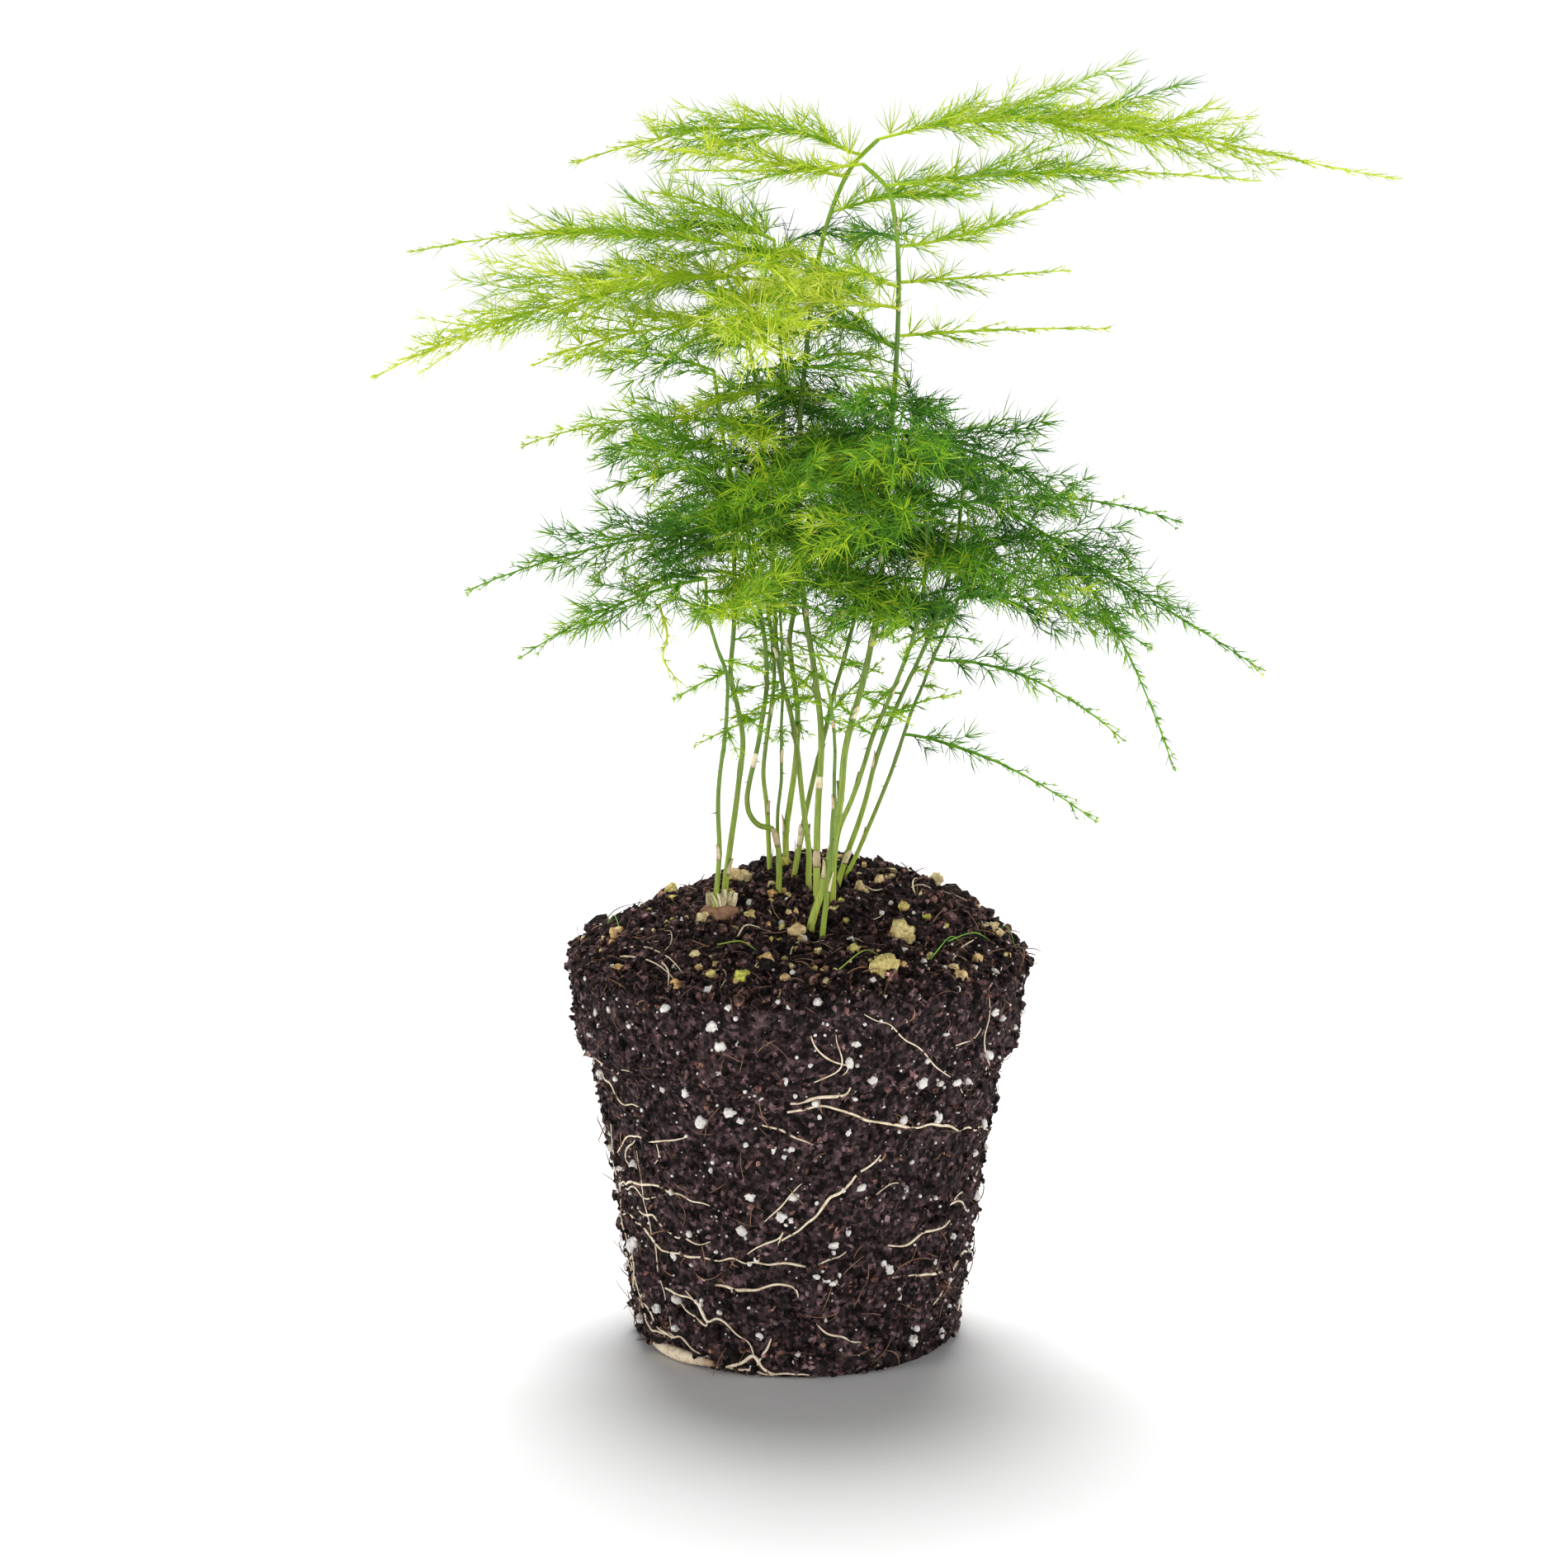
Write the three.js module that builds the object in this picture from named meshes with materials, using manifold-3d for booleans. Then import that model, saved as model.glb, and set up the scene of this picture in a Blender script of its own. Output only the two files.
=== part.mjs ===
// Asparagus fern lifted out of its nursery pot: the moulded root ball, four rootstocks, fourteen wiry stems
// and the flat feathery fronds that they carry.
// Millimetres, +Z up, origin at the middle of the root ball's flat base. A heading of 0 degrees points along
// +X and 90 degrees along +Y.
import * as THREE from "three";
import { mergeVertices } from "three/addons/utils/BufferGeometryUtils.js";
import Module from "manifold-3d";

const wasm = await Module();
wasm.setup();

const GAP = 0.3; // clearance between neighbouring solids

// The growing medium keeps the shape of a 12 cm pot: a tapered cup with a wider band under its rim.
const BALL = {
  baseRadius: 42,
  baseEdge: 2,
  waistRadius: 52.2,
  waistHeight: 74,
  bandRadius: 56.4,
  bandHeight: 78.5,
  rimRadius: 59,
  rimHeight: 100,
  rimEdge: 1.8,
  segments: 36,
};

// The medium's top is heaped up: [middle x, middle y, height, spread] of each rise above the level surface.
const LEVEL_RISE = 7;
const HEAPS = [
  [5, 22, 15, 21.4],
  [-28, -2, 4.5, 14],
  [38, 4, 6, 14],
];

// Rootstocks: middle [x, y], half sizes [x, y, z], and how far the middle lies below the surface.
const CROWNS = {
  crown_left: { middle: [-20, -7.5], half: [5.5, 4.5, 4.5], depth: 2.4 },
  crown_centre: { middle: [7.5, 0.5], half: [8.5, 9, 4.5], depth: 7 },
  crown_front: { middle: [4.5, -18.5], half: [5.5, 5, 4], depth: 6 },
  crown_back: { middle: [-4, 8.5], half: [7, 11, 4.5], depth: 7.5 },
};
const CROWN_LUMP = 0.07; // height of the lumps, as a share of the half size
const FOOT_DEPTH = 7; // a stem's foot lies this far under the surface
const FOOT_PULL = 0.3; // and this share of the way towards the middle of its rootstock

// Stems: rootstock, radius at foot and tip, and the route that each takes from the surface upwards.
const STEMS = {
  a: {
    crown: "crown_left",
    radius: [0.85, 0.4],
    route: [
      [-21, -9, 113], [-20, -9, 128], [-20, -10, 146], [-18, -11, 163], [-18, -12, 176],
      [-22, -13, 186], [-23, -14, 199],
    ],
  },
  b: {
    crown: "crown_left",
    radius: [1.0, 0.45],
    route: [
      [-19, -6, 112], [-18, -6, 124], [-15, -5, 146], [-14, -5, 158], [-17, -5, 174], [-16, -4, 189],
      [-17, -4, 218], [-21, -4, 250],
    ],
  },
  c: {
    crown: "crown_back",
    radius: [0.8, 0.4],
    route: [
      [-7, 12, 118], [-8, 12, 138], [-9, 13, 147], [-7, 14, 161], [-6, 15, 174], [-9, 17, 195],
      [-15, 18, 216], [-20, 18, 229],
    ],
  },
  d: {
    crown: "crown_back",
    radius: [0.95, 0.45],
    sharpBend: true,
    route: [
      [-5, 0, 113], [-5, 0, 127], [-6.5, 0, 133], [-11, 0, 134.5], [-13, 0, 140], [-12, 0, 147],
      [-9, 1, 159], [-8, 2, 177], [-11, 1, 197], [-15, 0, 226],
    ],
  },
  e: {
    crown: "crown_back",
    radius: [0.6, 0.35],
    route: [
      [-5, 4.5, 116], [-5, 3, 136], [-4, 2, 148], [-4, 1, 164], [-4, 0, 179], [-5, -1, 203],
    ],
  },
  f: {
    crown: "crown_back",
    radius: [1.0, 0.45],
    route: [
      [-3, 16, 119], [-3, 16, 130], [-1, 15, 143], [0, 15, 161], [-2, 15, 181], [0, 14, 195],
      [-3, 12, 217], [-4, 10, 249], [-6, 8, 282],
    ],
  },
  g: {
    crown: "crown_back",
    radius: [0.9, 0.4],
    route: [
      [-1, 9, 118], [2, 9, 135], [7, 10, 156], [10, 12, 168], [14, 14, 183], [20, 16, 208],
      [23, 17, 229],
    ],
  },
  h: {
    crown: "crown_centre",
    radius: [0.9, 0.45],
    route: [
      [3, 2, 116], [3, 2, 126], [1, 4, 142], [-1, 6, 158], [-5, 8, 175], [-6, 8, 192], [-8, 4, 217],
      [-10, -2, 243], [-14, -6, 264], [-18, -8, 274],
    ],
  },
  i: {
    crown: "crown_centre",
    radius: [1.05, 0.55],
    route: [
      [5, -5, 114], [5, -4, 135], [6, -2, 158], [4, 0, 176], [1, 2, 195], [0, 4, 217], [1, 5, 243],
      [5, 6, 276], [9, 6, 291], [14, 5, 301], [20, 4, 307],
    ],
  },
  j: {
    crown: "crown_front",
    radius: [1.15, 0.55],
    route: [
      [3, -17, 109], [6, -16, 120], [10, -14, 138], [12, -12, 157], [16, -10, 171], [20, -7, 191],
      [22, -4, 222], [24, -3, 243], [25, -3, 272], [24, -3, 288], [21, -3, 297], [16, -4, 301],
    ],
  },
  k: {
    crown: "crown_front",
    radius: [0.95, 0.35],
    route: [
      [6, -20, 108], [8, -20, 126], [9, -19, 146], [9, -19, 162], [7, -18, 174], [5, -17, 180],
    ],
  },
  l: {
    crown: "crown_centre",
    radius: [0.9, 0.4],
    route: [
      [10, 3, 116], [12, 2, 124], [17, 0, 139], [21, -2, 155], [26, -3, 167], [32, -4, 180],
      [36, -5, 191], [40, -5, 208], [42, -6, 227],
    ],
  },
  m: {
    crown: "crown_centre",
    radius: [0.85, 0.4],
    route: [
      [9, -4, 115], [10, -5, 132], [13, -6, 140], [16, -7, 148], [19, -8, 158], [24, -10, 170],
      [29, -12, 184], [32, -13, 203], [31, -13, 223], [28, -12, 243],
    ],
  },
  n: {
    crown: "crown_centre",
    radius: [0.75, 0.35],
    route: [
      [11, 7, 115], [14, 7, 122], [18, 8, 131], [24, 10, 146], [28, 11, 157], [33, 12, 171],
      [39, 13, 184], [44, 13, 198], [48, 12, 206],
    ],
  },
};
const STEM_SIDES = 6;
const STEM_STEP = 9; // length of one straight stretch of a stem
const BENT_STEM_STEP = 4; // the same for a stem with a sharp bend

// Fronds, by the stem that carries them: height of the joint on the stem, heading, how far out the tip lies
// and how far above the joint, how far the rib is lifted at one and two thirds of the way, the width at the
// widest place, and how many degrees the edge on the -Y side hangs down.
const FRONDS = {
  i1: { root: 307, heading: 357, reach: 130, rise: -10, lift: [18, 3], width: 44, roll: 12 },
  i2: { root: 303, heading: 172, reach: 74, rise: -2, lift: [14, 7], width: 34, roll: 18 },
  i3: { root: 298, heading: 205, reach: 52, rise: 7, lift: [1, 1], width: 28, roll: 14 },
  i4: { root: 289, heading: 18, reach: 40, rise: 4, lift: [3, 3], width: 26, roll: 10 },
  j1: { root: 301, heading: 183, reach: 47, rise: -1, lift: [-1, -1], width: 14, roll: 8 },
  j2: { root: 296, heading: 4, reach: 94, rise: 1, lift: [4, 4], width: 30, roll: 12 },
  j3: { root: 281, heading: 8, reach: 42, rise: 13, lift: [-3, -3], width: 20, roll: 16 },
  j4: { root: 272, heading: 2, reach: 43, rise: 3, lift: [0, 0], width: 18, roll: 10 },
  j5: { root: 259, heading: 356, reach: 53, rise: 2, lift: [1, 1], width: 18, roll: 12 },
  j6: { root: 266, heading: 205, reach: 46, rise: 3, lift: [1, 1], width: 24, roll: 24 },
  f1: { root: 278, heading: 178, reach: 93, rise: 1, lift: [9, 7], width: 32, roll: 20 },
  f2: { root: 272, heading: 192, reach: 68, rise: -1, lift: [3, 3], width: 26, roll: 22 },
  f3: { root: 282, heading: 158, reach: 36, rise: 12, lift: [3, 3], width: 24, roll: 30 },
  f4: { root: 265, heading: 62, reach: 50, rise: 2, lift: [5, 5], width: 30, roll: 14 },
  h1: { root: 274, heading: 188, reach: 88, rise: -25, lift: [6, 7], width: 40, roll: 24 },
  h2: { root: 268, heading: 278, reach: 62, rise: -16, lift: [7, 7], width: 34, roll: 12 },
  h3: { root: 261, heading: 207, reach: 58, rise: -8, lift: [5, 5], width: 34, roll: 30 },
  b1: { root: 238, heading: 186, reach: 50, rise: -6, lift: [4, 4], width: 26, roll: 22 },
  b2: { root: 250, heading: 150, reach: 44, rise: 2, lift: [4, 4], width: 24, roll: 26 },
  b3: { root: 231, heading: 240, reach: 46, rise: -5, lift: [4, 4], width: 30, roll: 24 },
  d1: { root: 226, heading: 174, reach: 36, rise: -7, lift: [3, 3], width: 26, roll: 20 },
  d2: { root: 210, heading: 192, reach: 72, rise: -14, lift: [5, 5], width: 36, roll: 20 },
  d3: { root: 219, heading: 285, reach: 56, rise: 4, lift: [4, 4], width: 38, roll: 12 },
  c1: { root: 229, heading: 150, reach: 40, rise: -5, lift: [5, 5], width: 32, roll: 22 },
  c2: { root: 210, heading: 112, reach: 60, rise: -6, lift: [7, 7], width: 40, roll: 16 },
  a1: { root: 199, heading: 190, reach: 47, rise: -19, lift: [4, 4], width: 32, roll: 22 },
  a2: { root: 190, heading: 285, reach: 44, rise: 7, lift: [3, 3], width: 32, roll: 16 },
  g1: { root: 229, heading: 12, reach: 34, rise: 6, lift: [1, 1], width: 22, roll: 20 },
  g2: { root: 220, heading: 62, reach: 60, rise: -5, lift: [7, 7], width: 42, roll: 18 },
  g3: { root: 203, heading: 95, reach: 62, rise: -8, lift: [7, 7], width: 36, roll: 12 },
  l1: { root: 222, heading: 352, reach: 76, rise: -46, lift: [0, 1], width: 34, roll: 28 },
  l2: { root: 217, heading: 12, reach: 58, rise: -6, lift: [5, 5], width: 24, roll: 20 },
  l3: { root: 206, heading: 306, reach: 48, rise: -14, lift: [5, 5], width: 36, roll: 26 },
  m1: { root: 243, heading: 263, reach: 50, rise: -17, lift: [8, 8], width: 38, roll: 10 },
  m2: { root: 232, heading: 318, reach: 50, rise: -15, lift: [7, 7], width: 40, roll: 28 },
  m3: { root: 220, heading: 235, reach: 50, rise: -12, lift: [4, 4], width: 34, roll: 20 },
  n1: { root: 206, heading: 345, reach: 50, rise: -58, lift: [27, 27], width: 26, roll: 26 },
  n2: { root: 175, heading: 350, reach: 50, rise: -20, lift: [8, 8], width: 20, roll: 18 },
  n3: { root: 156, heading: 358, reach: 50, rise: -23, lift: [5, 5], width: 18, roll: 14 },
  n4: { root: 191, heading: 22, reach: 56, rise: -16, lift: [7, 7], width: 36, roll: 22 },
};
const FROND_STEPS = 8;
const FROND_SIDES = 4;
const FROND_HALF_DEPTH = 0.8;
const STALK_RADIUS = 0.5;
const TIP_RADIUS = 0.35;

// A fleshy root that circles the base and shows in the notch where the edge of the medium has broken away.
const THICK_ROOT = {
  heading: [206, 240],
  radius: 40.8,
  height: 2,
  half: 1.7,
  steps: 8,
  sides: 8,
};
const NOTCH = { heading: 222, radius: 43.5, height: 1, half: [5.5, 7, 5.5], turn: 40 };

const COLOURS = {
  medium: 0x2e2422,
  crown: 0xcbb78a,
  stem: 0x5f8f3c,
  youngFrond: 0x9fc42f,
  oldFrond: 0x3f8230,
  root: 0xd9bd82,
};
const YOUNG_STEMS = "ijfh"; // the tall stems carry this season's bright fronds

const fern = new THREE.Group();

function headingVector(degrees) {
  const angle = THREE.MathUtils.degToRad(degrees);
  return new THREE.Vector3(Math.cos(angle), Math.sin(angle), 0);
}

function solidOf(geometry) {
  const bare = geometry.clone();
  bare.deleteAttribute("normal");
  bare.deleteAttribute("uv");
  const merged = mergeVertices(bare, 1e-3);
  const mesh = new wasm.Mesh({
    numProp: 3,
    vertProperties: merged.attributes.position.array,
    triVerts: new Uint32Array(merged.index.array),
  });
  return new wasm.Manifold(mesh);
}

function geometryOf(solid) {
  const mesh = solid.getMesh();
  const geometry = new THREE.BufferGeometry();
  geometry.setAttribute("position", new THREE.BufferAttribute(mesh.vertProperties, 3));
  geometry.setIndex(new THREE.BufferAttribute(mesh.triVerts, 1));
  geometry.computeVertexNormals();
  return geometry;
}

function largestPiece(solid) {
  const pieces = solid.decompose();
  return pieces.reduce((best, piece) => (piece.volume() > best.volume() ? piece : best));
}

function addPiece(name, solid, colour, roughness) {
  const material = new THREE.MeshStandardMaterial({ color: colour, roughness, metalness: 0 });
  const mesh = new THREE.Mesh(geometryOf(solid), material);
  mesh.name = name;
  fern.add(mesh);
}

// A cylinder bent along a curve. halfSizes(t) gives its half breadth and half depth at a share t of the way,
// and sideAt(step) the direction of its breadth.
function bentCylinder(curve, sides, steps, halfSizes, sideAt) {
  const shape = new THREE.CylinderGeometry(1, 1, 1, sides, steps);
  const place = shape.getAttribute("position");
  for (let n = 0; n < place.count; n++) {
    const t = Math.min(1, Math.max(0, place.getY(n) + 0.5));
    const side = sideAt(Math.round(t * steps)).clone();
    const up = side.clone().cross(curve.getTangentAt(t)).normalize();
    const [breadth, depth] = halfSizes(t);
    const point = curve.getPointAt(t);
    point.addScaledVector(side, place.getX(n) * breadth);
    point.addScaledVector(up, place.getZ(n) * depth);
    place.setXYZ(n, point.x, point.y, point.z);
  }
  return solidOf(shape);
}

// ---- Growing medium ----

function surfaceHeight(x, y) {
  const share = Math.min(1, Math.hypot(x, y) / BALL.rimRadius);
  const level = BALL.rimHeight + LEVEL_RISE * (1 - share ** 8);
  return HEAPS.reduce((height, [cx, cy, rise, spread]) => {
    const away = (x - cx) ** 2 + (y - cy) ** 2;
    return height + rise * Math.exp(-away / (2 * spread ** 2)) * (1 - share ** 8);
  }, level);
}

function rootBall() {
  const b = BALL;
  const outline = [
    [0, 0],
    [b.baseRadius - b.baseEdge, 0],
    [b.baseRadius, b.baseEdge],
    [b.waistRadius, b.waistHeight],
    [b.bandRadius, b.bandHeight],
    [b.rimRadius, b.rimHeight - b.rimEdge],
    [b.rimRadius - b.rimEdge, b.rimHeight],
  ];
  const topRings = 5;
  for (let ring = topRings - 1; ring >= 0; ring--) {
    outline.push([((b.rimRadius - b.rimEdge) * ring) / topRings, b.rimHeight]);
  }
  const shape = new THREE.LatheGeometry(outline.map(([r, z]) => new THREE.Vector2(r, z)), b.segments);
  shape.rotateX(Math.PI / 2);
  const place = shape.getAttribute("position");
  for (let n = 0; n < place.count; n++) {
    if (place.getZ(n) > b.rimHeight - 0.01) {
      place.setZ(n, surfaceHeight(place.getX(n), place.getY(n)));
    }
  }
  return solidOf(shape);
}

function crown({ middle, half, depth }, grow) {
  const shape = new THREE.SphereGeometry(1, 10, 7);
  const place = shape.getAttribute("position");
  const [cx, cy] = middle;
  const cz = surfaceHeight(cx, cy) - depth;
  for (let n = 0; n < place.count; n++) {
    const [x, y, z] = [place.getX(n), place.getY(n), place.getZ(n)];
    const lump = 1 + CROWN_LUMP * (Math.sin(7 * x + 2) + Math.sin(8 * y + 1) * Math.cos(6 * z));
    place.setXYZ(
      n,
      cx + x * (half[0] * lump + grow),
      cy + y * (half[1] * lump + grow),
      cz + z * (half[2] * lump + grow),
    );
  }
  return solidOf(shape);
}

function thickRoot(grow) {
  const r = THICK_ROOT;
  const turns = [0, 0.33, 0.67, 1].map((t) => THREE.MathUtils.lerp(r.heading[0], r.heading[1], t));
  const points = turns.map((turn) => headingVector(turn).multiplyScalar(r.radius).setZ(r.height));
  const curve = new THREE.CatmullRomCurve3(points);
  const halfSizes = (t) => {
    const half = grow + r.half * (0.35 + 0.65 * Math.sin(Math.PI * (0.12 + 0.8 * t)));
    return [half, half];
  };
  return bentCylinder(curve, r.sides, r.steps, halfSizes, () => new THREE.Vector3(0, 0, 1));
}

function notch() {
  const shape = new THREE.SphereGeometry(1, 10, 8);
  shape.scale(...NOTCH.half);
  shape.rotateZ(THREE.MathUtils.degToRad(NOTCH.heading));
  const middle = headingVector(NOTCH.heading).multiplyScalar(NOTCH.radius);
  shape.translate(middle.x, middle.y, NOTCH.height);
  return solidOf(shape);
}

// ---- Stems ----

function stemCurve({ crown: name, route }) {
  const points = route.map((p) => new THREE.Vector3(...p));
  const foot = points[0].clone();
  foot.lerp(new THREE.Vector3(...CROWNS[name].middle, foot.z), FOOT_PULL);
  foot.z -= FOOT_DEPTH;
  return new THREE.CatmullRomCurve3([foot, ...points]);
}

function stem(curve, { radius, sharpBend }, grow) {
  const steps = Math.ceil(curve.getLength() / (sharpBend ? BENT_STEM_STEP : STEM_STEP));
  const frames = curve.computeFrenetFrames(steps);
  const halfSizes = (t) => {
    const half = THREE.MathUtils.lerp(radius[0], radius[1], t ** 0.6) + grow;
    return [half, half];
  };
  return bentCylinder(curve, STEM_SIDES, steps, halfSizes, (step) => frames.normals[step]);
}

function ballAround(point, radius) {
  return solidOf(new THREE.SphereGeometry(radius, 8, 6).translate(point.x, point.y, point.z));
}

// The highest point of a stem that lies at a given height, or its tip where that is lower.
function pointAtHeight(curve, height) {
  const tries = 400;
  for (let n = tries; n > 0; n--) {
    if (curve.getPointAt(n / tries).z <= height && curve.getPointAt((n - 1) / tries).z <= height) {
      return curve.getPointAt(n / tries);
    }
  }
  return curve.getPointAt(1);
}

// ---- Fronds ----

function frondCurve(start, { heading, reach, rise, lift }) {
  const along = (share, above) => {
    const point = start.clone().addScaledVector(headingVector(heading), reach * share);
    return point.setZ(start.z + rise * share + above);
  };
  return new THREE.CubicBezierCurve3(along(0, 0), along(0.33, lift[0]), along(0.67, lift[1]), along(1, 0));
}

function frond(curve, { heading, width, roll }, grow) {
  const side = headingVector(heading - 90);
  const hang = THREE.MathUtils.degToRad(roll);
  side.multiplyScalar(Math.cos(hang)).setZ(Math.sin(hang) * Math.sign(side.y || 1));
  const halfSizes = (t) => {
    const blade = Math.max(0, Math.sin(Math.PI * t ** 0.7)) ** 0.85;
    const least = THREE.MathUtils.lerp(STALK_RADIUS, TIP_RADIUS, t);
    const depth = Math.min(FROND_HALF_DEPTH, least + blade);
    return [least + (width / 2) * blade + grow, depth + grow];
  };
  return bentCylinder(curve, FROND_SIDES, FROND_STEPS, halfSizes, () => side);
}

// ---- Putting it together ----

const stemCurves = {};
const aroundStems = [];
for (const [key, made] of Object.entries(STEMS)) {
  const curve = stemCurve(made);
  stemCurves[key] = curve;
  addPiece(`stem_${key}`, stem(curve, made, 0), COLOURS.stem, 0.55);
  aroundStems.push(stem(curve, made, GAP).add(ballAround(curve.getPointAt(1), made.radius[1] + GAP)));
}
const stemRoom = wasm.Manifold.union(aroundStems);

let buried = stemRoom;
for (const [name, made] of Object.entries(CROWNS)) {
  addPiece(name, largestPiece(crown(made, 0).subtract(buried)), COLOURS.crown, 0.8);
  buried = buried.add(crown(made, GAP));
}
buried = buried.add(thickRoot(GAP));
addPiece("root_ball", largestPiece(rootBall().subtract(notch()).subtract(buried)), COLOURS.medium, 0.95);
addPiece("thick_root", thickRoot(0), COLOURS.root, 0.6);

let taken = stemRoom;
for (const [key, made] of Object.entries(FRONDS)) {
  const curve = frondCurve(pointAtHeight(stemCurves[key[0]], made.root), made);
  const blade = largestPiece(frond(curve, made, 0).subtract(taken));
  const young = YOUNG_STEMS.includes(key[0]);
  addPiece(`frond_${key}`, blade, young ? COLOURS.youngFrond : COLOURS.oldFrond, 0.6);
  taken = taken.add(frond(curve, made, GAP));
}

export default fern;
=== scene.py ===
import math

import bmesh
import bpy
import numpy as np
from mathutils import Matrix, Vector, noise
from mathutils.bvhtree import BVHTree


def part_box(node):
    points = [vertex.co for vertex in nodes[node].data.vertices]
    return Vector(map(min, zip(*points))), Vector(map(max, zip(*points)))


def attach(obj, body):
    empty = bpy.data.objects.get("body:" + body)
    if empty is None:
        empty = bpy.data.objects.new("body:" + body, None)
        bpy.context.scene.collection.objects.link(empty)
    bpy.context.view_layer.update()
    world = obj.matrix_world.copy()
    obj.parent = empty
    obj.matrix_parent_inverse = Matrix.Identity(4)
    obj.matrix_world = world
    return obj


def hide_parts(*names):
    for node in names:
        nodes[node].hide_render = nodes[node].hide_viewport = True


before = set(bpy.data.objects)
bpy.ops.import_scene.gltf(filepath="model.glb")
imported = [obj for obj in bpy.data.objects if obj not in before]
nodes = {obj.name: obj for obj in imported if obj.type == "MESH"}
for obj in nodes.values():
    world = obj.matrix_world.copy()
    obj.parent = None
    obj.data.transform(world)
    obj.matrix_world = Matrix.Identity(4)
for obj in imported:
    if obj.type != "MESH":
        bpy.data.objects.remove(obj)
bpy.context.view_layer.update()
mm = 0.001
up = np.array([0.0, 0.0, 1.0])
print("frame loaded:", len(nodes), "nodes")


# small tools
def unit(v):
    return v / np.maximum(np.linalg.norm(v, axis=-1, keepdims=True), 1e-12)


def toMesh(bm, name):
    mesh = bpy.data.meshes.new(name)
    bm.to_mesh(mesh)
    bm.free()
    return mesh


def rodShape(name, sides, rings, pointed=False):
    # an upright rod of unit radius between heights 0 and 1, cut into rings
    bm = bmesh.new()
    tip = 0.0 if pointed else 1.0
    bmesh.ops.create_cone(bm, cap_ends=True, segments=sides, radius1=1, radius2=tip, depth=1)
    bmesh.ops.translate(bm, verts=bm.verts, vec=(0, 0, 0.5))
    for k in range(1, rings - 1):
        everything = bm.verts[:] + bm.edges[:] + bm.faces[:]
        height = (0, 0, k / (rings - 1))
        bmesh.ops.bisect_plane(bm, geom=everything, dist=1e-6, plane_co=height, plane_no=(0, 0, 1))
    return toMesh(bm, name)


def coordsOf(mesh, key="co"):
    flat = np.zeros(len(mesh.vertices) * 3, np.float32)
    mesh.vertices.foreach_get(key, flat)
    return flat.reshape(-1, 3).astype(float)


def trisOf(mesh):
    mesh.calc_loop_triangles()
    corners = np.zeros(len(mesh.loop_triangles) * 3, np.int32)
    mesh.loop_triangles.foreach_get("vertices", corners)
    return corners.reshape(-1, 3)


def welded(mesh):
    bm = bmesh.new()
    bm.from_mesh(mesh)
    bmesh.ops.remove_doubles(bm, verts=bm.verts, dist=1e-6)
    return bm


def setTone(mesh, values):
    mesh.attributes.new("tone", "FLOAT", "POINT").data.foreach_set("value", values)


def repeated(shape, count, name):
    # count copies of one shape in one mesh, in order; bundles of copies keep it quick
    bundle = bmesh.new()
    for _ in range(64):
        bundle.from_mesh(shape)
    many = toMesh(bundle, "bundle")
    bm = bmesh.new()
    for _ in range(count // 64):
        bm.from_mesh(many)
    for _ in range(count % 64):
        bm.from_mesh(shape)
    bpy.data.meshes.remove(many)
    return toMesh(bm, name)


def addPiece(name, mesh, material, replaced=(), smooth=True, rides=True):
    piece = bpy.data.objects.new(name, mesh)
    bpy.context.scene.collection.objects.link(piece)
    mesh.materials.clear()
    mesh.materials.append(material)
    mesh.polygons.foreach_set("use_smooth", [smooth] * len(mesh.polygons))
    if rides:
        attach(piece, "root")
        if replaced:
            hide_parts(*replaced)
    return piece


def scattered(name, shape, placed, attributes):
    # placed holds one set of vertex places for each copy of the shape
    mesh = repeated(shape, len(placed), name)
    mesh.vertices.foreach_set("co", np.asarray(placed, np.float32).ravel())
    for key, values in attributes.items():
        layer = mesh.attributes.new(key, "FLOAT", "POINT")
        values = np.asarray(values, np.float32)
        if values.ndim == 1:
            values = np.repeat(values, len(shape.vertices))
        layer.data.foreach_set("value", values.ravel())
    mesh.update()
    return mesh


def joined(name, meshes):
    bm = bmesh.new()
    values = {}
    for mesh in meshes:
        bm.from_mesh(mesh)
        for layer in mesh.attributes:
            if layer.data_type == "FLOAT" and layer.domain == "POINT":
                flat = np.zeros(len(mesh.vertices), np.float32)
                layer.data.foreach_get("value", flat)
                values.setdefault(layer.name, []).append(flat)
        bpy.data.meshes.remove(mesh)
    whole = toMesh(bm, name)
    for key, parts in values.items():
        if key not in whole.attributes:
            whole.attributes.new(key, "FLOAT", "POINT")
        whole.attributes[key].data.foreach_set("value", np.concatenate(parts))
    return whole


def smoothLine(points, count):
    # Catmull-Rom through the points, evenly spaced
    p = np.asarray(points, float)
    p = np.vstack([2 * p[0] - p[1], p, 2 * p[-1] - p[-2]])
    fine = []
    for k in range(1, len(p) - 2):
        t = np.linspace(0, 1, 12, endpoint=False)[:, None]
        a, b, c, d = p[k - 1], p[k], p[k + 1], p[k + 2]
        fine.append(0.5 * (2 * b + (c - a) * t + (2 * a - 5 * b + 4 * c - d) * t**2
                           + (3 * b - a - 3 * c + d) * t**3))
    fine = np.vstack(fine + [p[-2][None]])
    run = np.concatenate([[0], np.cumsum(np.linalg.norm(np.diff(fine, axis=0), axis=1))])
    at = np.linspace(0, run[-1], count)
    return np.stack([np.interp(at, run, fine[:, k]) for k in range(3)], 1)


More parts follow.
